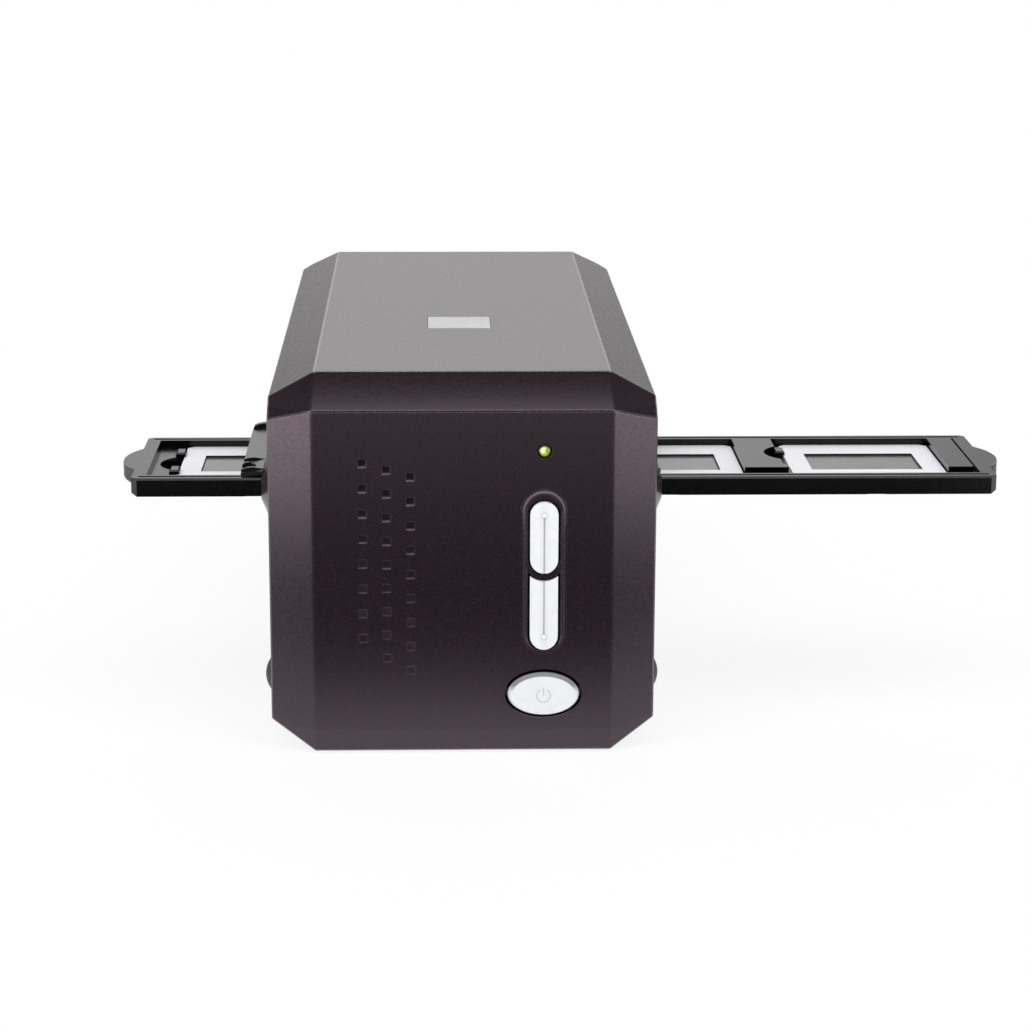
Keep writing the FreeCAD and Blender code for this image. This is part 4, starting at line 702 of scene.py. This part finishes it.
inner_black = moulded("inner_black", (0.034, 0.034, 0.037), drift=0.15, roughness=0.56,
                      grain_scale=900.0, grain_depth=0.00004)[0]
finish_nodes(inner_black, "chassis", "film_gate", "lamp_housing", "carriage_body", "carriage_cover",
             "lens_clamp")
board_green = moulded("board_green", (0.017, 0.130, 0.047), drift=0.12, roughness=0.35,
                      grain_scale=800.0, grain_depth=0.00002)[0]
finish_nodes(board_green, "button_board", "lamp_board", "sensor_board", "main_board")
opal_white = moulded("opal_white", (0.83, 0.83, 0.81), drift=0.02, roughness=0.50,
                     grain_scale=900.0, grain_depth=0.00001)[0]
finish_nodes(opal_white, "lamp_diffuser", "lamp_lights")
bearing_bronze = metal("bearing_bronze", (0.60, 0.40, 0.18), roughness=(0.32, 0.45),
                       grain_scale=1500.0)
finish_nodes(bearing_bronze, "carriage_bushes", "drive_nut")
motor_case = metal("motor_case", (0.40, 0.40, 0.41), roughness=(0.35, 0.48), grain_scale=700.0)
finish_nodes(motor_case, "stepper_motor")
barrel_black = metal("barrel_black", (0.05, 0.05, 0.055), roughness=(0.30, 0.42),
                     grain_scale=1300.0)
finish_nodes(barrel_black, "lens_barrel")
front_mirror = metal("front_mirror", (0.85, 0.87, 0.88), roughness=(0.02, 0.05), grain_scale=300.0)
finish_nodes(front_mirror, "fold_mirror")
turned_steel = metal("turned_steel", (0.56, 0.56, 0.57), roughness=(0.20, 0.32), grain_scale=1200.0,
                     stretch=(1.0, 6.0, 1.0))
finish_nodes(turned_steel, "left_door_pin", "right_door_pin", "index_spring", "guide_rods",
             "lead_screw")


def coated_glass():
    material, tree, surface = start_finish("coated_glass")
    clouds = spread(tree, noise(tree, GLASS_CLOUDS))
    shade = blend_colours(tree, clouds, GLASS_DARK, GLASS_LIGHT)
    tree.links.new(shade, surface.inputs["Base Color"])
    surface.inputs["Roughness"].default_value = GLASS_ROUGHNESS
    surface.inputs["Transmission Weight"].default_value = 1.0
    return material


finish_nodes(coated_glass(), "lens_glass")


# Floor: a pale table that runs out to white, and keeps the soft shadow round the housing.
# In reflections it is bright near the scanner, dark further forward and bright again at the front.
# A white card lies on it at the front left, and another at the front right.
FLOOR_HALF = 6.0
FLOOR_GREY, FLOOR_ROUGHNESS = (0.80, 0.80, 0.80, 1), 0.9
FLOOR_SEEN, SHADOW_REACH = 0.87, (0.20, 0.70)
FLOOR_NEAR, FLOOR_DARK, FLOOR_FRONT = 1.65, 0.02, 1.05
NEAR_ENDS, FRONT_STARTS = (-0.26, -0.15), (-0.62, -0.48)
LEFT_CARD, LEFT_CARD_EDGE = 6.4, (-0.43, -0.25)
RIGHT_CARD, RIGHT_CARD_EDGE = 4.6, (0.19, 0.36)
CARDS_REAR, CARDS_FRONT = (-0.36, -0.26), (-0.80, -0.60)
WHITE = (1.0, 1.0, 1.0, 1.0)

# Where the Mix node has its two numbers.
NUMBER_A, NUMBER_B = 2, 3


def white_to_camera(tree, level):
    path = tree.nodes.new("ShaderNodeLightPath").outputs
    mixed = {0: path["Is Camera Ray"], NUMBER_A: level, NUMBER_B: 1.0}
    return add_node(tree, "ShaderNodeMix", mixed)


def mirrored_table(tree):
    place = split(tree, place_of(tree))
    near = ramp(tree, place["Y"], *NEAR_ENDS, FLOOR_DARK, FLOOR_NEAR)
    front = ramp(tree, place["Y"], *FRONT_STARTS, FLOOR_FRONT, FLOOR_DARK)
    left_card = ramp(tree, place["X"], *LEFT_CARD_EDGE, LEFT_CARD, 0.0)
    right_card = ramp(tree, place["X"], *RIGHT_CARD_EDGE, 0.0, RIGHT_CARD)
    ahead = band(tree, place["Y"], CARDS_FRONT, CARDS_REAR)
    cards = product(tree, maths(tree, "ADD", left_card, right_card), ahead)
    return maths(tree, "ADD", most(tree, near, front), cards)


def pale_floor():
    material, tree, surface = start_finish("pale_floor")
    surface.inputs["Base Color"].default_value = FLOOR_GREY
    surface.inputs["Roughness"].default_value = FLOOR_ROUGHNESS
    surface.inputs["Specular IOR Level"].default_value = 0.0
    path = tree.nodes.new("ShaderNodeLightPath").outputs
    away = arrow_maths(tree, "LENGTH", place_of(tree))
    seen = product(tree, path["Is Camera Ray"], ramp(tree, away, *SHADOW_REACH, FLOOR_SEEN, 1.0))
    mirrored = most(tree, path["Is Glossy Ray"], path["Is Transmission Ray"])
    glow = add_node(tree, "ShaderNodeEmission", {
        "Color": WHITE, "Strength": white_to_camera(tree, mirrored_table(tree))})
    both = add_node(tree, "ShaderNodeMixShader", {
        0: most(tree, seen, mirrored), 1: surface.outputs["BSDF"], 2: glow})
    tree.links.new(both, tree.nodes["Material Output"].inputs["Surface"])
    return material


floor_mesh = bpy.data.meshes.new("floor")
floor_corners = [(x * FLOOR_HALF, y * FLOOR_HALF, 0)
                 for x, y in ((-1, -1), (1, -1), (1, 1), (-1, 1))]
floor_mesh.from_pydata(floor_corners, [], [(0, 1, 2, 3)])
floor_mesh.materials.append(pale_floor())
floor = bpy.data.objects.new("floor", floor_mesh)
bpy.context.scene.collection.objects.link(floor)


# Studio lights: a wide soft light above and behind, and a low softbox on each side of the camera.
# They are weak, because the pale table and the studio round it give most of the light.
def softbox(name, place, target, width, height, power):
    light = bpy.data.lights.new(name, "AREA")
    light.shape = "RECTANGLE"
    light.size = width
    light.size_y = height
    light.energy = power
    lamp = bpy.data.objects.new(name, light)
    lamp.location = place
    lamp.rotation_euler = (Vector(target) - Vector(place)).to_track_quat("-Z", "Y").to_euler()
    bpy.context.scene.collection.objects.link(lamp)


softbox("overhead_box", place=(0.0, 1.2, 1.3), target=(0.0, 0.0, 0.05), width=1.6, height=1.2,
        power=10.0)
softbox("left_box", place=(-1.15, -0.95, 0.45), target=(0.0, 0.0, 0.08), width=0.7, height=0.7,
        power=8.6)
softbox("right_box", place=(1.15, -0.95, 0.45), target=(0.0, 0.0, 0.08), width=0.7, height=0.7,
        power=7.4)


# Studio walls: pale at the back and above the horizon, dimmer to the sides, in front and overhead.
# A bright panel hangs above the front of the scanner, and the facet over the face mirrors it.
# The camera itself sees plain white.
WALL_RISE, WALL_LOW, WALL_HIGH = (0.16, 0.50), 0.80, 2.0
CEILING_RISE, CEILING = (0.50, 0.80), 0.03
REAR_TURN, IN_FRONT = (-0.4, 0.6), 0.20
SIDE_TURN, TO_THE_SIDE = (0.09, 0.30), 0.32
PANEL_RISE, PANEL_DEPTH, PANEL = (0.55, 0.75), (-0.34, 0.04), 3.6


def studio_world():
    world = bpy.data.worlds.new("studio")
    bpy.context.scene.world = world
    world.use_nodes = True
    tree = world.node_tree
    towards = split(tree, add_node(tree, "ShaderNodeTexCoord", {}, "Generated"))
    wall = ramp(tree, towards["Z"], *WALL_RISE, WALL_LOW, WALL_HIGH)
    below_ceiling = ramp(tree, towards["Z"], *CEILING_RISE, 1.0, CEILING)
    backwards = ramp(tree, towards["Y"], *REAR_TURN, IN_FRONT, 1.0)
    sideways = ramp(tree, maths(tree, "ABSOLUTE", towards["X"]), *SIDE_TURN, 1.0, TO_THE_SIDE)
    walls = product(tree, product(tree, wall, below_ceiling), product(tree, backwards, sideways))
    panel_light = ramp(tree, towards["Y"], *PANEL_DEPTH, PANEL, 0.0)
    panel = product(tree, ramp(tree, towards["Z"], *PANEL_RISE), panel_light)
    background = tree.nodes["Background"]
    background.inputs["Color"].default_value = WHITE
    strength = white_to_camera(tree, maths(tree, "ADD", walls, panel))
    tree.links.new(strength, background.inputs["Strength"])


studio_world()


# Camera: it stands in front, a little above the scanner and left of the holder's middle.
# Its place and its focal length come from fitting the housing and the holder to the view.
FOCAL_PIXELS, IMAGE_PIXELS, SENSOR = 2811.4, 1031.0, 36.0
EYE = (-0.04211, -0.97394, 0.28683)
PITCH, YAW, ROLL = math.radians(13.990), math.radians(1.7225), math.radians(0.2032)

ahead = Vector((math.sin(YAW) * math.cos(PITCH), math.cos(YAW) * math.cos(PITCH), -math.sin(PITCH)))
level = Vector((math.cos(YAW), -math.sin(YAW), 0))
above = level.cross(ahead)
right = level * math.cos(ROLL) + above * math.sin(ROLL)
up = above * math.cos(ROLL) - level * math.sin(ROLL)
camera_data = bpy.data.cameras.new("camera")
camera_data.sensor_width = SENSOR
camera_data.lens = SENSOR * FOCAL_PIXELS / IMAGE_PIXELS
camera = bpy.data.objects.new("camera", camera_data)
camera.matrix_world = Matrix.Translation(EYE) @ Matrix((right, up, -ahead)).transposed().to_4x4()
bpy.context.scene.collection.objects.link(camera)
bpy.context.scene.camera = camera

bpy.context.scene.view_settings.view_transform = "Standard"
